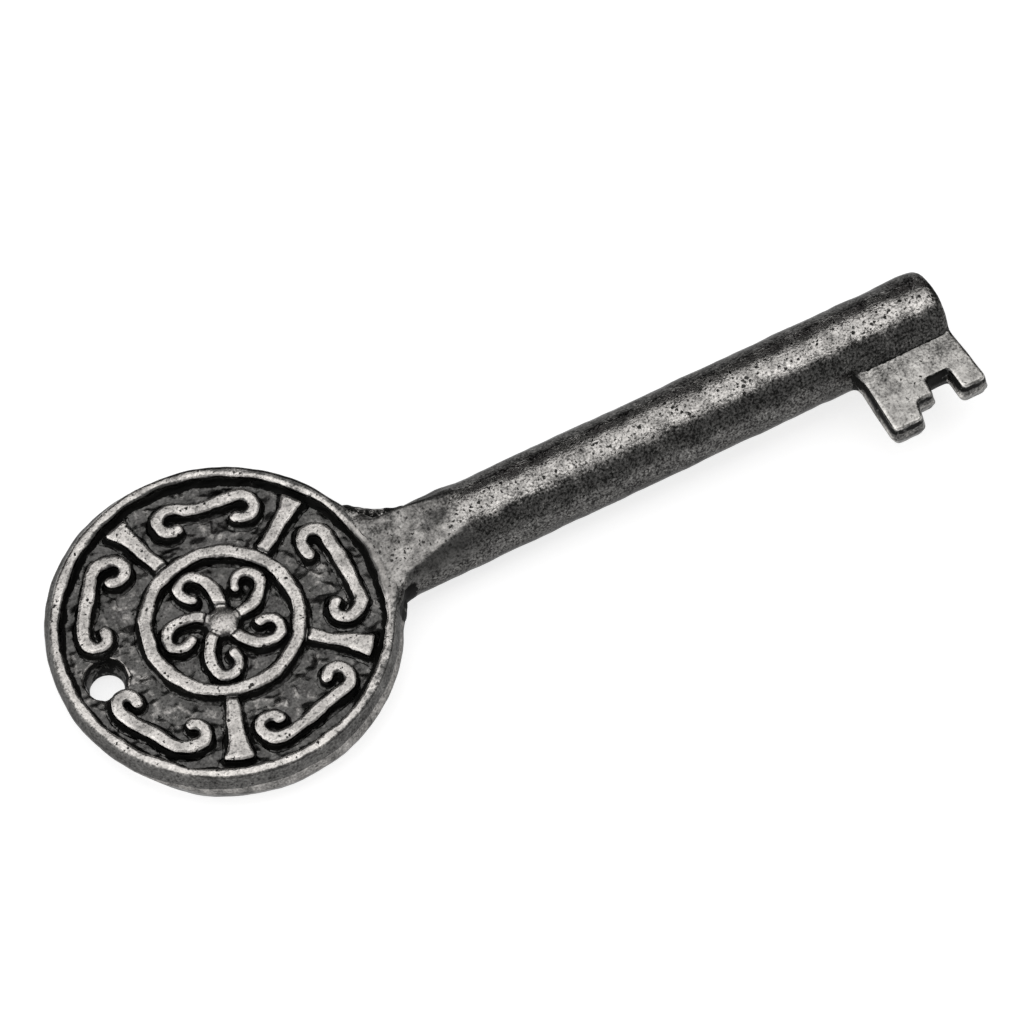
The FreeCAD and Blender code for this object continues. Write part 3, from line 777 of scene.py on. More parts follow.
def finish_neck(skin):
    """Raise the neck's far shoulder, swell its side, dull it, and paint shade on its far half."""
    neck = fall(skin.x - NECK_END, *NECK_FADE)
    shoulder = neck * rise(skin.y, *SHOULDER_SIDE) * rise(skin.normals[:, 1], *SHOULDER_FACING)
    shoulder *= fall(skin.tilt, *SHOULDER_TILT) * (skin.z > 0)
    skin.moved += NECK_SHOULDER * shoulder[:, None] * SHOULDER_PUSH
    swollen = neck * rise(skin.y, *SWELL_SIDE) * rise(skin.z, *SWELL_HEIGHT)
    skin.moved += NECK_SWELL * swollen[:, None] * skin.normals
    away = np.hypot(*((skin.points[:, :2] - ROUGH_PLACE) / ROUGH_REACHES).T)
    # The far half of the neck gets painted shade on top of its dulling.
    dull = NECK_DULL + FAR_DULL * rise(skin.y, *FAR_HALF)
    dull += ROUGH_DULL * fall(away, *ROUGH_BORDER) * (skin.z > 0)
    skin.rubbed *= 1 - neck * dull


stem_skin = skins["stem"]
# Black in the stem's corners is grime and painted shade.
stem_skin.grime = np.maximum(stem_skin.grime, rise(stem_skin.hollow, *STEM_CORNER_HOLLOW))
fill_tip(stem_skin)
finish_neck(stem_skin)
print(f"the tip now ends at x = {stem_skin.moved[:, 0].max():.2f} mm")

# %% [markdown]
# The two corners between the bow and the neck. Metal pools in a corner of a mould and the file never
# gets to it, so both corners are filled, and their black is painted shade. Each is given by its place
# from the bow's centre, by how far its filling stands out, by where its black starts to fade and is
# gone, and by the height up to which it is black. The flash in the far corner is black all over.

# %% Corners between bow and neck
CORNERS = [
    {"place": (12.9, -4.3), "fill": 0.2, "black": (1.1, 1.9), "top": 1.2},
    {"place": (13.1, 4.0), "fill": 0.12, "black": (1.6, 2.8), "top": 1.3},
]
CORNER_FROM_EDGE = (0.35, 0.75)
CORNER_STEEP = (0.8, 0.93)
CORNER_FILL_REACH = (0.6, 2.2)
CORNER_TOP_BORDER = 0.5
FLASH_GRIME = 0.8


def fill_corner(skin, place, fill, black, top):
    """Fill one corner beside the neck and paint it black as shade."""
    near = np.hypot(skin.ahead - place[0], skin.across - place[1])
    outside = fall(skin.from_edge, *CORNER_FROM_EDGE) * fall(skin.flat, *CORNER_STEEP)
    skin.moved += (fill * outside * fall(near, *CORNER_FILL_REACH))[:, None] * skin.normals
    # The black of the corner is painted shade.
    outside *= fall(skin.z, top, top + CORNER_TOP_BORDER)
    skin.grime = np.maximum(skin.grime, outside * fall(near, *black))


for name in ("stem", "bow_plate", "bow_rim"):
    for corner in CORNERS:
        fill_corner(skins[name], **corner)
flash_skin = skins["corner_flash"]
flash_skin.grime = np.full(len(flash_skin.points), FLASH_GRIME)
print("corners filled:", len(CORNERS))

# %% [markdown]
# The bit. It lay across the mould's parting too, so its lower half has slipped to the right, and it
# came out a little longer and wider than drawn towards its prongs. It flares at its root on the left,
# where it joins the stem, and along its right edge. Its points are simply pushed along the stem or
# across it, since a bent cage or a sculpted mesh would be harder to give exact distances.

# %% Shape of the bit
BIT_SLIP = 0.3
BIT_PARTING = (-0.5, 0.1)
SLIP_START = (-0.4, 1.0)
BIT_STRETCH = 0.16
BIT_WIDEN = 0.288
RIGHT_FLARE = 0.1
RIGHT_FLARE_WIDTH = (0.3, 1.2)
ROOT_FLARE = 0.3
ROOT_RUN = 1.3
ROOT_HEIGHT = (0.0, 0.5)
ROOT_FLARE_WIDTH = 1.0


def shape_bit(skin):
    """Slip, stretch and flare the bit."""
    from_stem = -skin.y - STEM_RADIUS
    length = -bit_low[1] - STEM_RADIUS
    right_edge = fall(bit_high[0] - skin.x, *RIGHT_FLARE_WIDTH)
    root = fall(from_stem, 0, ROOT_RUN) * rise(skin.z, *ROOT_HEIGHT)
    left_edge = fall(skin.x, bit_low[0], bit_low[0] + ROOT_FLARE_WIDTH)
    below = fall(skin.z, *BIT_PARTING) * rise(from_stem, *SLIP_START)
    out = rise(from_stem, 0, length)
    skin.moved[:, 0] += RIGHT_FLARE * right_edge - ROOT_FLARE * root * left_edge + BIT_SLIP * below
    skin.moved[:, 0] += BIT_WIDEN * out * rise(skin.x, bit_low[0], bit_high[0])
    skin.moved[:, 1] -= BIT_STRETCH * out


shape_bit(skins["bit"])
print(f"the bit's lower half slipped by {BIT_SLIP} mm")

# %% [markdown]
# The black of the bit. A file cleaned its face, but the upper part of its walls is black, as grime and
# painted shade, and the lower part is a lighter grey, most on walls that face left. Black, as grime and
# painted shade, also fills the nook at the root, the ceilings of the ward cuts and every inner corner,
# the face is painted darker near the root as shade, and the left edge gets a painted highlight as a
# bright line. Which wall is which shows in the normals: left walls face left, and ends face away from
# the stem.

# %% Black and bright places of the bit
BIT_WALL = (0.2, 0.5)
BIT_WALL_FACING = (0.2, 0.6)
UPPER_WALL = (0.5, 0.8)
PRONG_END_BLACK = 0.7
NOOK_RUN = (0.6, 1.3)
NOOK_FACING = (0.1, 0.3)
NOOK_HEIGHT = (0.2, 0.5)
NOOK_STEEP = (0.7, 0.85)
CEILING_FACING = (0.3, 0.7)
CEILING_START = (0.25, 0.5)
CEILING_END = (0.85, 0.95)
CEILING_BLACK = 0.95
BIT_CORNER_HOLLOW = (0.04, 0.11)
# Painted shade on the bit's face near the root.
ROOT_RUB = 0.62
ROOT_RUB_RUN = 0.5
FULL_RUB_BEFORE_END = 1.0
LOWER_RUB = 0.35
LOWER_LEFT_RUB = 0.4
LOWER_LEFT_FACING = (0.3, 0.7)
LOWER_WALL = (0.6, 1.0)
# Painted highlight along the bit's left edge.
LEFT_EDGE_SHEEN = 1.6
LEFT_EDGE_HOLLOW = (0.06, 0.16)
LEFT_EDGE_FACING = (0.12, 0.3)
LEFT_EDGE_LEVEL = (0.4, 0.6)


def blacken_bit(skin):
    """Black, as grime and painted shade, on the upper walls, at the root's left, in the ward cuts and in the
    corners.
    """
    leftwards, outwards = -skin.normals[:, 0], -skin.normals[:, 1]
    from_stem = -skin.y - STEM_RADIUS
    # Black on the bit's walls, nook, ceilings and corners is grime and painted shade.
    upper_wall = fall(skin.flat, *BIT_WALL) * fall(bit_high[2] - skin.z, *UPPER_WALL)
    left = upper_wall * rise(leftwards, *BIT_WALL_FACING)
    end = PRONG_END_BLACK * upper_wall * rise(outwards, *BIT_WALL_FACING)
    nook = fall(from_stem, *NOOK_RUN) * rise(leftwards, *NOOK_FACING)
    nook *= rise(skin.z, *NOOK_HEIGHT) * fall(skin.flat, *NOOK_STEEP)
    inwards = (skin.y - bit_low[1]) / (-STEM_RADIUS - bit_low[1])
    ceiling = CEILING_BLACK * rise(outwards, *CEILING_FACING)
    ceiling *= rise(inwards, *CEILING_START) * fall(inwards, *CEILING_END)
    corner = rise(skin.hollow, *BIT_CORNER_HOLLOW)
    skin.grime = np.maximum.reduce([skin.grime, left, end, nook, ceiling, corner])


def rub_bit(skin):
    """Painted shade at the root, lighter grey lower walls and a painted highlight on the left edge."""
    leftwards = -skin.normals[:, 0]
    # The face is painted darker near the root: painted shade.
    towards_end = rise(-skin.y, STEM_RADIUS + ROOT_RUB_RUN, -bit_low[1] - FULL_RUB_BEFORE_END)
    skin.rubbed *= ROOT_RUB + (1 - ROOT_RUB) * towards_end
    # The lower walls are lighter grey, most where they face left.
    lower_wall = fall(skin.flat, *BIT_WALL) * rise(bit_high[2] - skin.z, *LOWER_WALL)
    lower_rub = LOWER_RUB + LOWER_LEFT_RUB * rise(leftwards, *LOWER_LEFT_FACING)
    skin.rubbed = np.maximum(skin.rubbed, lower_rub * lower_wall)
    # A painted highlight along the left edge.
    left_edge = rise(-skin.hollow, *LEFT_EDGE_HOLLOW) * rise(leftwards, *LEFT_EDGE_FACING)
    skin.sheen += LEFT_EDGE_SHEEN * left_edge * rise(skin.flat, *LEFT_EDGE_LEVEL)


blacken_bit(skins["bit"])
rub_bit(skins["bit"])
print(f"the bit is rubbed to {skins['bit'].rubbed.mean():.0%} on average")

# %% [markdown]
# Calm places, and back to the meshes. The flat of the neck is smoother and duller than all the rest,
# so its points carry a fourth value, calm, which quiets the noises of the finish. Then the moved
# points and the four values go into the meshes. A value on a point travels with the mesh and works at
# any camera and in any pose, which a painted picture wouldn't do as simply.

# %% Calm places, and back to the meshes
CALM_FADE = (-2.5, 0.5)
CALM_HEIGHT = (0.6, 1.4)


def add_point_values(mesh, name, values):
    """Keep one number for each point under a name that a material can ask for."""
    attribute = mesh.attributes.new(name, "FLOAT", "POINT")
    attribute.data.foreach_set("value", np.asarray(values, np.float32))


for skin in skins.values():
    calm = fall(skin.x - NECK_END, *CALM_FADE) * rise(skin.z, *CALM_HEIGHT)
    calm *= skin.by_neck * rise(skin.ahead - RIM_GROOVE, *NECK_DULL_START)
    skin.mesh.vertices.foreach_set("co", (skin.moved * MM).astype(np.float32).ravel())
    skin.mesh.update()
    # The first value holds wear and painted light, the second grime and painted shade, the third painted
    # highlights, the fourth calm.
    point_values = {"rubbed": skin.rubbed, "grime": skin.grime, "edge": skin.sheen, "calm": calm}
    for name, values in point_values.items():
        add_point_values(skin.mesh, name, values)
print("values on each point:", ", ".join(point_values))

# %% [markdown]
# The camera stands where the photographer stood. A camera on a stand is described best by what it
# looks at, from how far, and from which side and height, with a slight roll. The long lens keeps
# the bow and the tip at nearly the same scale.

# %% Camera
CAMERA_TARGET = Vector((-37.98, -0.64, 0.0)) * MM
CAMERA_DISTANCE = 305.0 * MM
CAMERA_AZIMUTH = math.radians(-29.86)
CAMERA_ELEVATION = math.radians(62.58)
CAMERA_ROLL = math.radians(1.855)
CAMERA_LENS = 139.4
CAMERA_SENSOR = 36.0
CLIP_SHARE = 100


def direction(azimuth, elevation):
    """Unit vector towards a place, where azimuth 0 is on the viewer's side and turns to +X."""
    level = math.cos(elevation)
    return Vector((math.sin(azimuth) * level, -math.cos(azimuth) * level, math.sin(elevation)))


camera_data = bpy.data.cameras.new("camera")
camera_data.lens = CAMERA_LENS
camera_data.sensor_width = CAMERA_SENSOR
camera_data.clip_start = CAMERA_DISTANCE / CLIP_SHARE
camera_data.clip_end = CAMERA_DISTANCE * CLIP_SHARE
camera = new_object("camera", camera_data)
towards_camera = direction(CAMERA_AZIMUTH, CAMERA_ELEVATION)
facing = towards_camera.to_track_quat("Z", "Y").to_matrix()
camera.matrix_world = (Matrix.Translation(CAMERA_TARGET + towards_camera * CAMERA_DISTANCE)
                       @ (facing @ Matrix.Rotation(CAMERA_ROLL, 3, "Z")).to_4x4())
bpy.context.scene.camera = camera
print("camera at (mm):", [round(v / MM, 1) for v in camera.location])

# %% [markdown]
# The table. The key doesn't lie level: it rests on the back edge of its bow and on the underside
# of its stem, which is thicker. So the white table is a plane through those two places, tilted by a
# degree or two, and the key itself stays where the frame has it. The table looks white to the
# camera and to the polished iron alike, and the key's soft shadow still shows on it.

# %% Table and its white paint
TABLE_SIZE = 6.0
TABLE_DROP = 0.1
TABLE_WHITE = 0.6
TABLE_LIFT = 0.7
STEM_REST = BOW_CENTRE[0] + 25.0
BOW_REST = plate_low[0] + 0.5


def node(tree, kind, **settings):
    """Add a shader node, with settings for its options and, by name, its unlinked inputs."""
    made = tree.nodes.new(kind)
    for key, value in settings.items():
        if key in made.inputs:
            made.inputs[key].default_value = value
        else:
            setattr(made, key, value)
    return made


def join(tree, *links):
    """Link pairs of (node or socket, input socket)."""
    for source, target in links:
        tree.links.new(source if isinstance(source, bpy.types.NodeSocket) else source.outputs[0], target)


def maximum(tree, first, second):
    """The larger of two numbers."""
    larger = node(tree, "ShaderNodeMath", operation="MAXIMUM")
    join(tree, (first, larger.inputs[0]), (second, larger.inputs[1]))
    return larger.outputs[0]


def seen_directly(tree):
    """1 for rays from the camera, a mirror or glass, and 0 for the rest."""
    rays = node(tree, "ShaderNodeLightPath").outputs
    seen = maximum(tree, rays["Is Camera Ray"], rays["Is Glossy Ray"])
    return maximum(tree, seen, rays["Is Transmission Ray"])


def empty_material(name):
    """Material with nodes and nothing in it yet, and its node tree."""
    material = bpy.data.materials.new(name)
    material.use_nodes = True
    material.node_tree.nodes.clear()
    return material, material.node_tree


def table_material():
    """White paint that the key's shadow falls on and that looks white to the camera."""
    material, tree = empty_material("white_table")
    paint = node(tree, "ShaderNodeBsdfDiffuse", Color=(TABLE_WHITE, TABLE_WHITE, TABLE_WHITE, 1))
    glow = node(tree, "ShaderNodeEmission", Color=(1, 1, 1, 1))
    strength = node(tree, "ShaderNodeMath", operation="MULTIPLY")
    strength.inputs[1].default_value = TABLE_LIFT
    both = node(tree, "ShaderNodeAddShader")
    out = node(tree, "ShaderNodeOutputMaterial")
    join(tree, (seen_directly(tree), strength.inputs[0]), (strength, glow.inputs["Strength"]),
         (paint, both.inputs[0]), (glow, both.inputs[1]), (both, out.inputs["Surface"]))
    return material


half = TABLE_SIZE / 2
table_mesh = bpy.data.meshes.new("table")
table_mesh.from_pydata([(-half, -half, 0), (half, -half, 0), (half, half, 0), (-half, half, 0)],
                       [], [(0, 1, 2, 3)])
table_mesh.materials.append(table_material())
table = new_object("table", table_mesh)
table_slope = math.atan2(BACK_LEVEL - stem_low[2], STEM_REST - BOW_REST)
table.matrix_world = (Matrix.Translation(Vector((STEM_REST, 0, stem_low[2] - TABLE_DROP)) * MM)
                      @ Matrix.Rotation(table_slope, 4, "Y"))
print(f"table tilted by {math.degrees(table_slope):.2f} degrees")

# %% [markdown]
# The light. Polished metal has hardly any colour of its own and shows its surroundings, so the light
# is built like a jeweller's: one large soft box overhead, and a dome of cards all round. Dark cards on
# the far side and greyer ones on the near side give the round stem its dark bands beside the bright
# one, and a bright card on the left lights the walls that face it. The camera doesn't see the cards.

# %% Soft box, cards and world
BOX_HEIGHT = 600 * MM
BOX_FAR_ANGLE = math.radians(40.0)
BOX_NEAR_ANGLE = math.radians(13.2)
BOX_LENGTH = 1100 * MM
BOX_RADIANCE = 1.1
CARD_RADIUS = 900 * MM
CARD_RINGS = 12
CARD_SIDES = 48
LEFT_CARDS_FROM = -0.58 * CARD_RADIUS
CARD_GREYS = {"far_cards": 0.07, "near_cards": 0.44, "left_cards": 1.1}

far_reach = BOX_HEIGHT * math.tan(BOX_FAR_ANGLE)
near_reach = BOX_HEIGHT * math.tan(BOX_NEAR_ANGLE)
box_data = bpy.data.lights.new("soft_box", "AREA")
box_data.shape = "RECTANGLE"
box_data.size = BOX_LENGTH
box_data.size_y = far_reach + near_reach
box_data.energy = BOX_RADIANCE * math.pi * box_data.size * box_data.size_y
soft_box = new_object("soft_box", box_data)
soft_box.location = (CAMERA_TARGET.x, (far_reach - near_reach) / 2, BOX_HEIGHT)


def card_material(name, grey):
    """Card that glows evenly in a shade of grey."""
    material, tree = empty_material(name)
    glow = node(tree, "ShaderNodeEmission", Color=(1, 1, 1, 1), Strength=grey)
    out = node(tree, "ShaderNodeOutputMaterial")
    join(tree, (glow, out.inputs["Surface"]))
    return material


def card_dome(radius, rings, sides):
    """Closed dome of cards over the table, in rings from the table up to its top point."""
    points = []
    for ring in range(rings):
        lift = math.pi / 2 * ring / rings
        for side in range(sides):
            turn = 2 * math.pi * side / sides
            level = radius * math.cos(lift)
            points.append((level * math.cos(turn), level * math.sin(turn), radius * math.sin(lift)))
    points.append((0, 0, radius))
    faces = []
    for ring in range(rings):
        for side in range(sides):
            low, low_after = ring * sides + side, ring * sides + (side + 1) % sides
            if ring == rings - 1:
                faces.append((low, low_after, len(points) - 1))
            else:
                faces.append((low, low_after, low_after + sides, low + sides))
    mesh = bpy.data.meshes.new("dark_cards")
    mesh.from_pydata(points, [], faces)
    return mesh


cards = new_object("dark_cards", card_dome(CARD_RADIUS, CARD_RINGS, CARD_SIDES))
for name, grey in CARD_GREYS.items():
    cards.data.materials.append(card_material(name, grey))
for face in cards.data.polygons:
    face.material_index = 2 if face.center.x < LEFT_CARDS_FROM else int(face.center.y < 0)
cards.location = CAMERA_TARGET
cards.visible_camera = False
cards.visible_shadow = False

world = bpy.data.worlds.new("white_room")
bpy.context.scene.world = world
world.use_nodes = True
world.node_tree.nodes["Background"].inputs["Color"].default_value = (1, 1, 1, 1)
bpy.context.scene.view_settings.view_transform = "Standard"
print(f"soft box {box_data.size:.2f} x {box_data.size_y:.2f} m")

# %% [markdown]
# Small parts of a shader. A material in Blender is a net of nodes, and most of its nodes here only
# multiply, add or blend. So each such step gets a short function that adds its node and hands back
# the socket that holds the result, and the finish further down then reads almost like a sum. All
# noises are taken at the place in space in millimetres, so they run on from one piece to the next.

# %% Small parts of a shader
def noise_at(tree, place, scale, detail=2.0, roughness=0.5):
    """Noise texture of the place in millimetres."""
    texture = node(tree, "ShaderNodeTexNoise", Scale=scale, Detail=detail, Roughness=roughness)
    join(tree, (place, texture.inputs["Vector"]))
    return texture.outputs[0]


def ramp_between(tree, source, low, high):
    """0 to 1 as the source goes from low to high."""
    ramp = node(tree, "ShaderNodeMapRange", interpolation_type="SMOOTHSTEP")
    ramp.inputs["From Min"].default_value = low
    ramp.inputs["From Max"].default_value = high
    join(tree, (source, ramp.inputs["Value"]))
    return ramp.outputs[0]


def weighted(tree, constant, *terms):
    """A constant plus each source times its weight."""
    total = None
    for source, weight in terms:
        step = node(tree, "ShaderNodeMath", operation="MULTIPLY_ADD")
        step.inputs[1].default_value = weight
        join(tree, (source, step.inputs[0]))
        if total is None:
            step.inputs[2].default_value = constant
        else:
            join(tree, (total, step.inputs[2]))
        total = step.outputs[0]
    return total


def times(tree, first, second):
    """The product of two numbers."""
    product = node(tree, "ShaderNodeMath", operation="MULTIPLY")
    join(tree, (first, product.inputs[0]), (second, product.inputs[1]))
    return product.outputs[0]


def mixed(tree, share, first, second):
    """Colour from first to second; each is a colour or a socket."""
    mix = node(tree, "ShaderNodeMix", data_type="RGBA")
    for source, target in ((share, mix.inputs["Factor"]), (first, mix.inputs[6]), (second, mix.inputs[7])):
        if isinstance(source, bpy.types.NodeSocket):
            join(tree, (source, target))
        else:
            target.default_value = source
    return mix.outputs[2]


def between(tree, share, low, high):
    """Plain number from low to high."""
    return weighted(tree, low, (share, high - low))


def point_value(tree, name):
    """One of the four values that the points of the mesh carry."""
    return node(tree, "ShaderNodeAttribute", attribute_name=name).outputs["Fac"]


def millimetres(tree):
    """Place in space in millimetres, the same for every piece, so the noise runs on across them."""
    scale = node(tree, "ShaderNodeVectorMath", operation="SCALE")
    scale.inputs["Scale"].default_value = 1 / MM
    join(tree, (node(tree, "ShaderNodeTexCoord").outputs["Object"], scale.inputs[0]))
    return scale.outputs[0]


print("the shader works in units of", MM, "m")

# %% [markdown]
# Pits of the sand. Grains that stuck to the mould left tiny holes, round and of mixed sizes, in
# clusters. A Voronoi texture gives one cell for each chance of a pit and a random colour for its luck,
# and a noise that bends the place first keeps the holes from being perfect discs. A few pits on the
# stem are so large that the eye would miss them, so they are placed one by one.

# %% Pits
PITS_PER_MM = 2.8
PIT_WOBBLE = 0.35
PIT_WOBBLE_SCALE = 5.0
PIT_PATCHES = 1.2
PIT_LUCK = (1.1, 1.7)
PIT_SIZES = (-0.05, 0.42)
PIT_BORDER = (-0.03, 0.04)
BIG_PIT_WOBBLE = 0.3
BIG_PIT_WOBBLE_SCALE = 4.0
BIG_PIT_BORDER = (-0.02, 0.04)
STEM_PITS = [
    (-3.18, 0.2, 3.3, 0.17),
    (-17.2, -0.25, 3.3, 0.2), (-17.5, -0.5, 3.28, 0.14), (-17.75, -0.75, 3.2, 0.17),
]


def sand_pits(tree, place, patch, more):
    """1 inside tiny round pits of mixed sizes, more of them where the iron is patchy."""
    wobble = node(tree, "ShaderNodeTexNoise", Scale=PIT_WOBBLE_SCALE, Detail=2.0)
    bent = node(tree, "ShaderNodeVectorMath", operation="MULTIPLY_ADD")
    bent.inputs[1].default_value = (PIT_WOBBLE, PIT_WOBBLE, PIT_WOBBLE)
    join(tree, (place, wobble.inputs["Vector"]), (wobble.outputs["Color"], bent.inputs[0]),
         (place, bent.inputs[2]))
    cells = node(tree, "ShaderNodeTexVoronoi", Scale=PITS_PER_MM)
    join(tree, (bent, cells.inputs["Vector"]))
    luck = weighted(tree, more, (cells.outputs["Color"], 1.0), (patch, PIT_PATCHES))
    size = between(tree, ramp_between(tree, luck, *PIT_LUCK), *PIT_SIZES)
    inside = weighted(tree, 0.0, (size, 1.0), (cells.outputs["Distance"], -1.0))
    return ramp_between(tree, inside, *PIT_BORDER)


def round_pit(tree, place, spot):
    """1 inside one large pit, given as its place and its radius in millimetres."""
    reach = node(tree, "ShaderNodeVectorMath", operation="DISTANCE")
    reach.inputs[1].default_value = spot[:3]
    join(tree, (place, reach.inputs[0]))
    wobble = noise_at(tree, place, BIG_PIT_WOBBLE_SCALE)
    inside = weighted(tree, spot[3] - BIG_PIT_WOBBLE / 2, (wobble, BIG_PIT_WOBBLE),
                      (reach.outputs["Value"], -1.0))
    return ramp_between(tree, inside, *BIG_PIT_BORDER)


print("large pits on the stem:", len(STEM_PITS))

# %% [markdown]
# The iron's finish. Three layers lie on each other: the dark skin that the iron got in the fire, the
# bright metal where it was rubbed and where light is painted, and black grime and painted shade in the
# corners. The four values on the points say where each layer shows, and a fine noise frays their
# borders, so that none looks painted. On top come the marks of the sand: tiny pits, whose black is
# painted shade, darker specks of painted shade and a fine grain that breaks up the shine. Bare metal
# and dark skin are metal to the shader, and the black of grime and painted shade is not, because soot
# hardly reflects at all.

# %% Iron finish
DARK_SKIN = (0.095, 0.093, 0.09, 1)
# Black for grime, painted shade and the sand pits.
BLACK_GRIME = (0.008, 0.008, 0.0075, 1)
PATCH_NOISE = {"scale": 0.8, "detail": 3.0, "roughness": 0.6}
FINE_NOISE = {"scale": 5.5, "detail": 2.0, "roughness": 0.6}
RAGGED_NOISE = {"scale": 2.4, "detail": 3.0, "roughness": 0.6}
SPECK_NOISE = {"scale": 4.6, "detail": 2.5, "roughness": 0.6}
FINE_FRAY = 0.6
WORN_BORDER = (0.15, 0.85)
GRIME_FRAY = 1.8
GRIME_BORDER = (0.38, 0.68)
SPECK_PATCHES = 0.2
SPECK_BORDER = (0.53, 0.64)
CALM_QUIET = 0.6
CALM_ROUGHNESS = 0.16
GRIME_ROUGHNESS = 0.4
SKIN_SPECKLE = 2.1
# How much the edge value, a painted highlight, lightens the tone.
EDGE_SHEEN = 0.5
DARKEST_TONE = 0.2
BRIGHTEST_TONE = 2.0
# How black the pits are painted, as shade in the tiny holes.
PIT_BLACK = (0.6, 0.95)
GRAIN_HEIGHT = (0.35, 1.0)
PIT_DEPTH = 0.5
SPECK_DEPTH = 0.3
GRAZING_GLOSS = 0.08
GRAZING_TINT = (0.55, 0.55, 0.55, 1)


def layer_shares(tree, place, patch, fine, frayed, lively):
    """Where bare metal shows, and where black grime and painted shade lie, each with a frayed border."""
    fray = weighted(tree, -(1 + FINE_FRAY) / 2, (patch, 1.0), (fine, FINE_FRAY))
    rubbed = (point_value(tree, "rubbed"), 1.0)
    worn = ramp_between(tree, weighted(tree, 0.0, rubbed, (times(tree, fray, lively), frayed)), *WORN_BORDER)
    ragged = weighted(tree, -1.0, (noise_at(tree, place, **RAGGED_NOISE), 1.0), (patch, 1.0))
    grime = (point_value(tree, "grime"), 1.0)
    return worn, ramp_between(tree, weighted(tree, 0.0, grime, (ragged, GRIME_FRAY)), *GRIME_BORDER)


def metal_tone(tree, patch, fine, worn, speck, lively, speckle, patches, specks):
    """How light the metal is from place to place, round 1, with painted highlights on the edges and darker
    specks of painted shade.
    """
    sparkle = times(tree, weighted(tree, -0.5, (fine, 1.0)), between(tree, worn, SKIN_SPECKLE, 1.0))
    # The edge value adds a painted highlight to the tone.
    light = weighted(tree, 1 - patches / 2, (times(tree, sparkle, lively), speckle), (patch, patches),
                     (point_value(tree, "edge"), EDGE_SHEEN), (speck, -specks))
    tone = node(tree, "ShaderNodeClamp", Min=DARKEST_TONE, Max=BRIGHTEST_TONE)
    join(tree, (light, tone.inputs["Value"]))
    return tone.outputs[0]


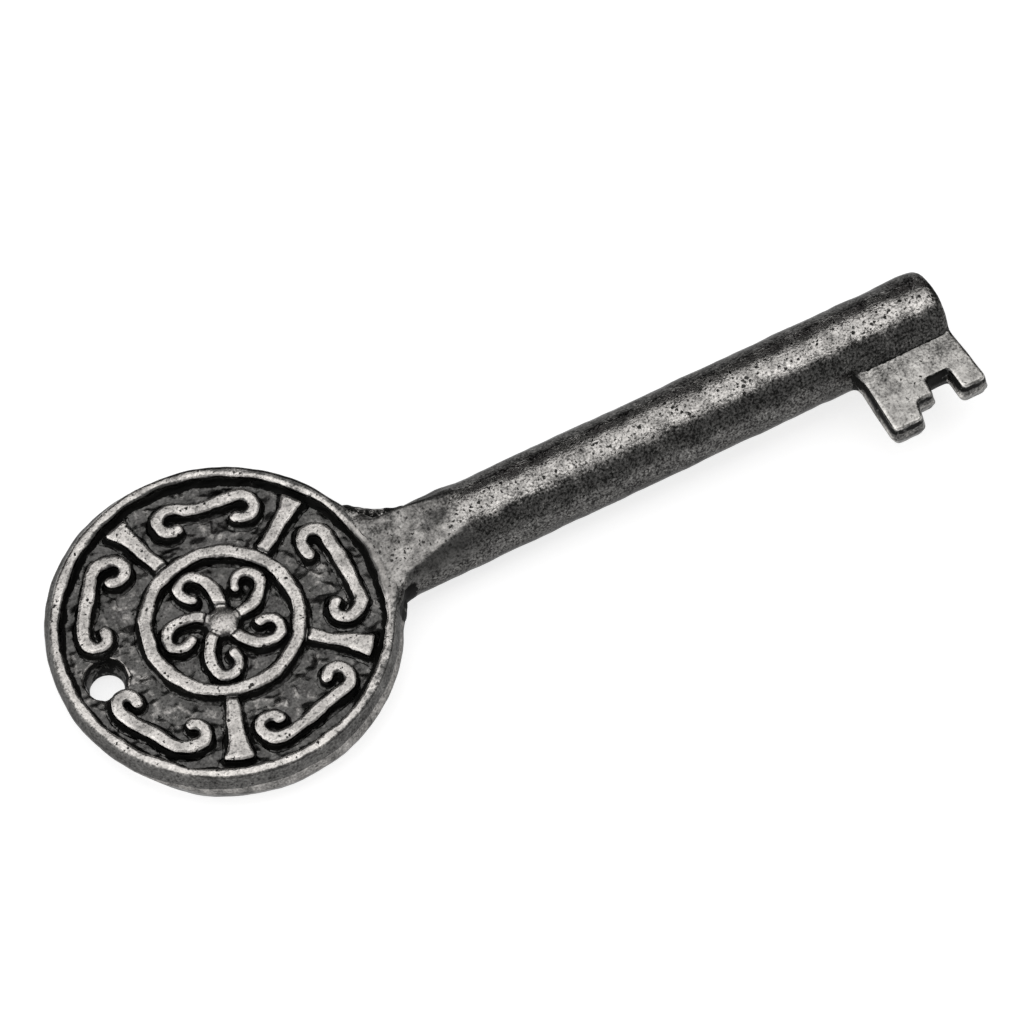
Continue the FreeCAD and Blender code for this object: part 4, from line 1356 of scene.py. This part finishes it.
def iron_material(name, bright, shine, dull, speckle, patches, grain_depth, more_pits, frayed, specks,
                  big_pits=()):
    """Iron with a dark skin, bare metal and black grime with painted shade, mixed by the values on its
    points.
    """
    material, tree = empty_material(name)
    place = millimetres(tree)
    patch, fine = noise_at(tree, place, **PATCH_NOISE), noise_at(tree, place, **FINE_NOISE)
    lively = weighted(tree, 1.0, (point_value(tree, "calm"), -CALM_QUIET))
    worn, black = layer_shares(tree, place, patch, fine, frayed, lively)
    pit = sand_pits(tree, place, patch, more_pits)
    for spot in big_pits:
        pit = maximum(tree, pit, round_pit(tree, place, spot))
    speckled = weighted(tree, -SPECK_PATCHES / 2, (noise_at(tree, place, **SPECK_NOISE), 1.0),
                        (patch, SPECK_PATCHES))
    # Specks darken the tone: painted shade in tiny hollows.
    speck = times(tree, ramp_between(tree, speckled, *SPECK_BORDER), lively)
    tone = metal_tone(tree, patch, fine, worn, speck, lively, speckle, patches, specks)
    toned = node(tree, "ShaderNodeVectorMath", operation="SCALE")
    join(tree, (mixed(tree, worn, DARK_SKIN, bright), toned.inputs[0]), (tone, toned.inputs["Scale"]))
    # Pits are painted black: painted shade in the tiny holes.
    pitted = mixed(tree, times(tree, pit, between(tree, worn, *PIT_BLACK)), toned.outputs[0], BLACK_GRIME)
    # Black grime and painted shade cover the colour.
    colour = mixed(tree, black, pitted, BLACK_GRIME)
    metallic = weighted(tree, 1.0, (black, -1.0))
    rough = weighted(tree, dull, (worn, shine - dull), (black, GRIME_ROUGHNESS),
                     (point_value(tree, "calm"), CALM_ROUGHNESS))
    grain = times(tree, fine, between(tree, worn, *GRAIN_HEIGHT))
    height = weighted(tree, 0.0, (grain, 1.0), (pit, -PIT_DEPTH), (speck, -SPECK_DEPTH))
    bump = node(tree, "ShaderNodeBump", Strength=1.0, Distance=grain_depth * MM)
    join(tree, (height, bump.inputs["Height"]))
    shader = node(tree, "ShaderNodeBsdfPrincipled")
    shader.inputs["Specular IOR Level"].default_value = GRAZING_GLOSS
    shader.inputs["Specular Tint"].default_value = GRAZING_TINT
    out = node(tree, "ShaderNodeOutputMaterial")
    join(tree, (colour, shader.inputs["Base Color"]), (rough, shader.inputs["Roughness"]),
         (metallic, shader.inputs["Metallic"]), (bump, shader.inputs["Normal"]),
         (shader, out.inputs["Surface"]))
    return material


print("layers of the finish: dark skin, bare metal, black grime")

# %% [markdown]
# Dressing the pieces. The same finish serves for all the iron, with other strengths for each kind of
# place: the sunk field is the darkest and calmest, the relief is bright and a little rough, the stem is
# pitted and patchy, and the bit was filed smooth. Shine and dull are how rough bare metal and dark
# skin are. Speckle, patches and specks say how much the tone changes from grain to grain and from
# place to place. Depths are in millimetres.

# %% Dress the pieces
BRIGHT_RELIEF = (0.47, 0.45, 0.43, 1)
BRIGHT_STEM = (0.42, 0.405, 0.388, 1)
BRIGHT_BIT = (0.4, 0.388, 0.37, 1)
SLOTS = {"bow_plate": "cast_bow", "stem": "cast_stem", "bit": "cast_stem"}

FINISHES = {
    "cast_bow": dict(bright=BRIGHT_RELIEF, shine=0.24, dull=0.24, speckle=0.8, patches=1.3,
                     grain_depth=0.012, more_pits=-0.1, frayed=0.5, specks=0.3),
    "worn_relief": dict(bright=BRIGHT_RELIEF, shine=0.25, dull=0.22, speckle=1.2, patches=2.2,
                        grain_depth=0.018, more_pits=0.03, frayed=1.0, specks=0.4),
    "cast_stem": dict(bright=BRIGHT_STEM, shine=0.18, dull=0.26, speckle=2.4, patches=2.6,
                      grain_depth=0.022, more_pits=0.2, frayed=1.3, specks=0.8, big_pits=STEM_PITS),
    "cast_bit": dict(bright=BRIGHT_BIT, shine=0.22, dull=0.2, speckle=1.4, patches=2.2,
                     grain_depth=0.015, more_pits=-0.1, frayed=1.0, specks=0.4),
}

finishes = {name: iron_material(name, **settings) for name, settings in FINISHES.items()}
for name, piece in pieces.items():
    slot = SLOTS.get(name, "worn_relief")
    piece.data.materials.append(finishes["cast_bit" if name == "bit" else slot])
flash.data.materials.append(finishes["cast_stem"])
print("finishes:", ", ".join(finishes))
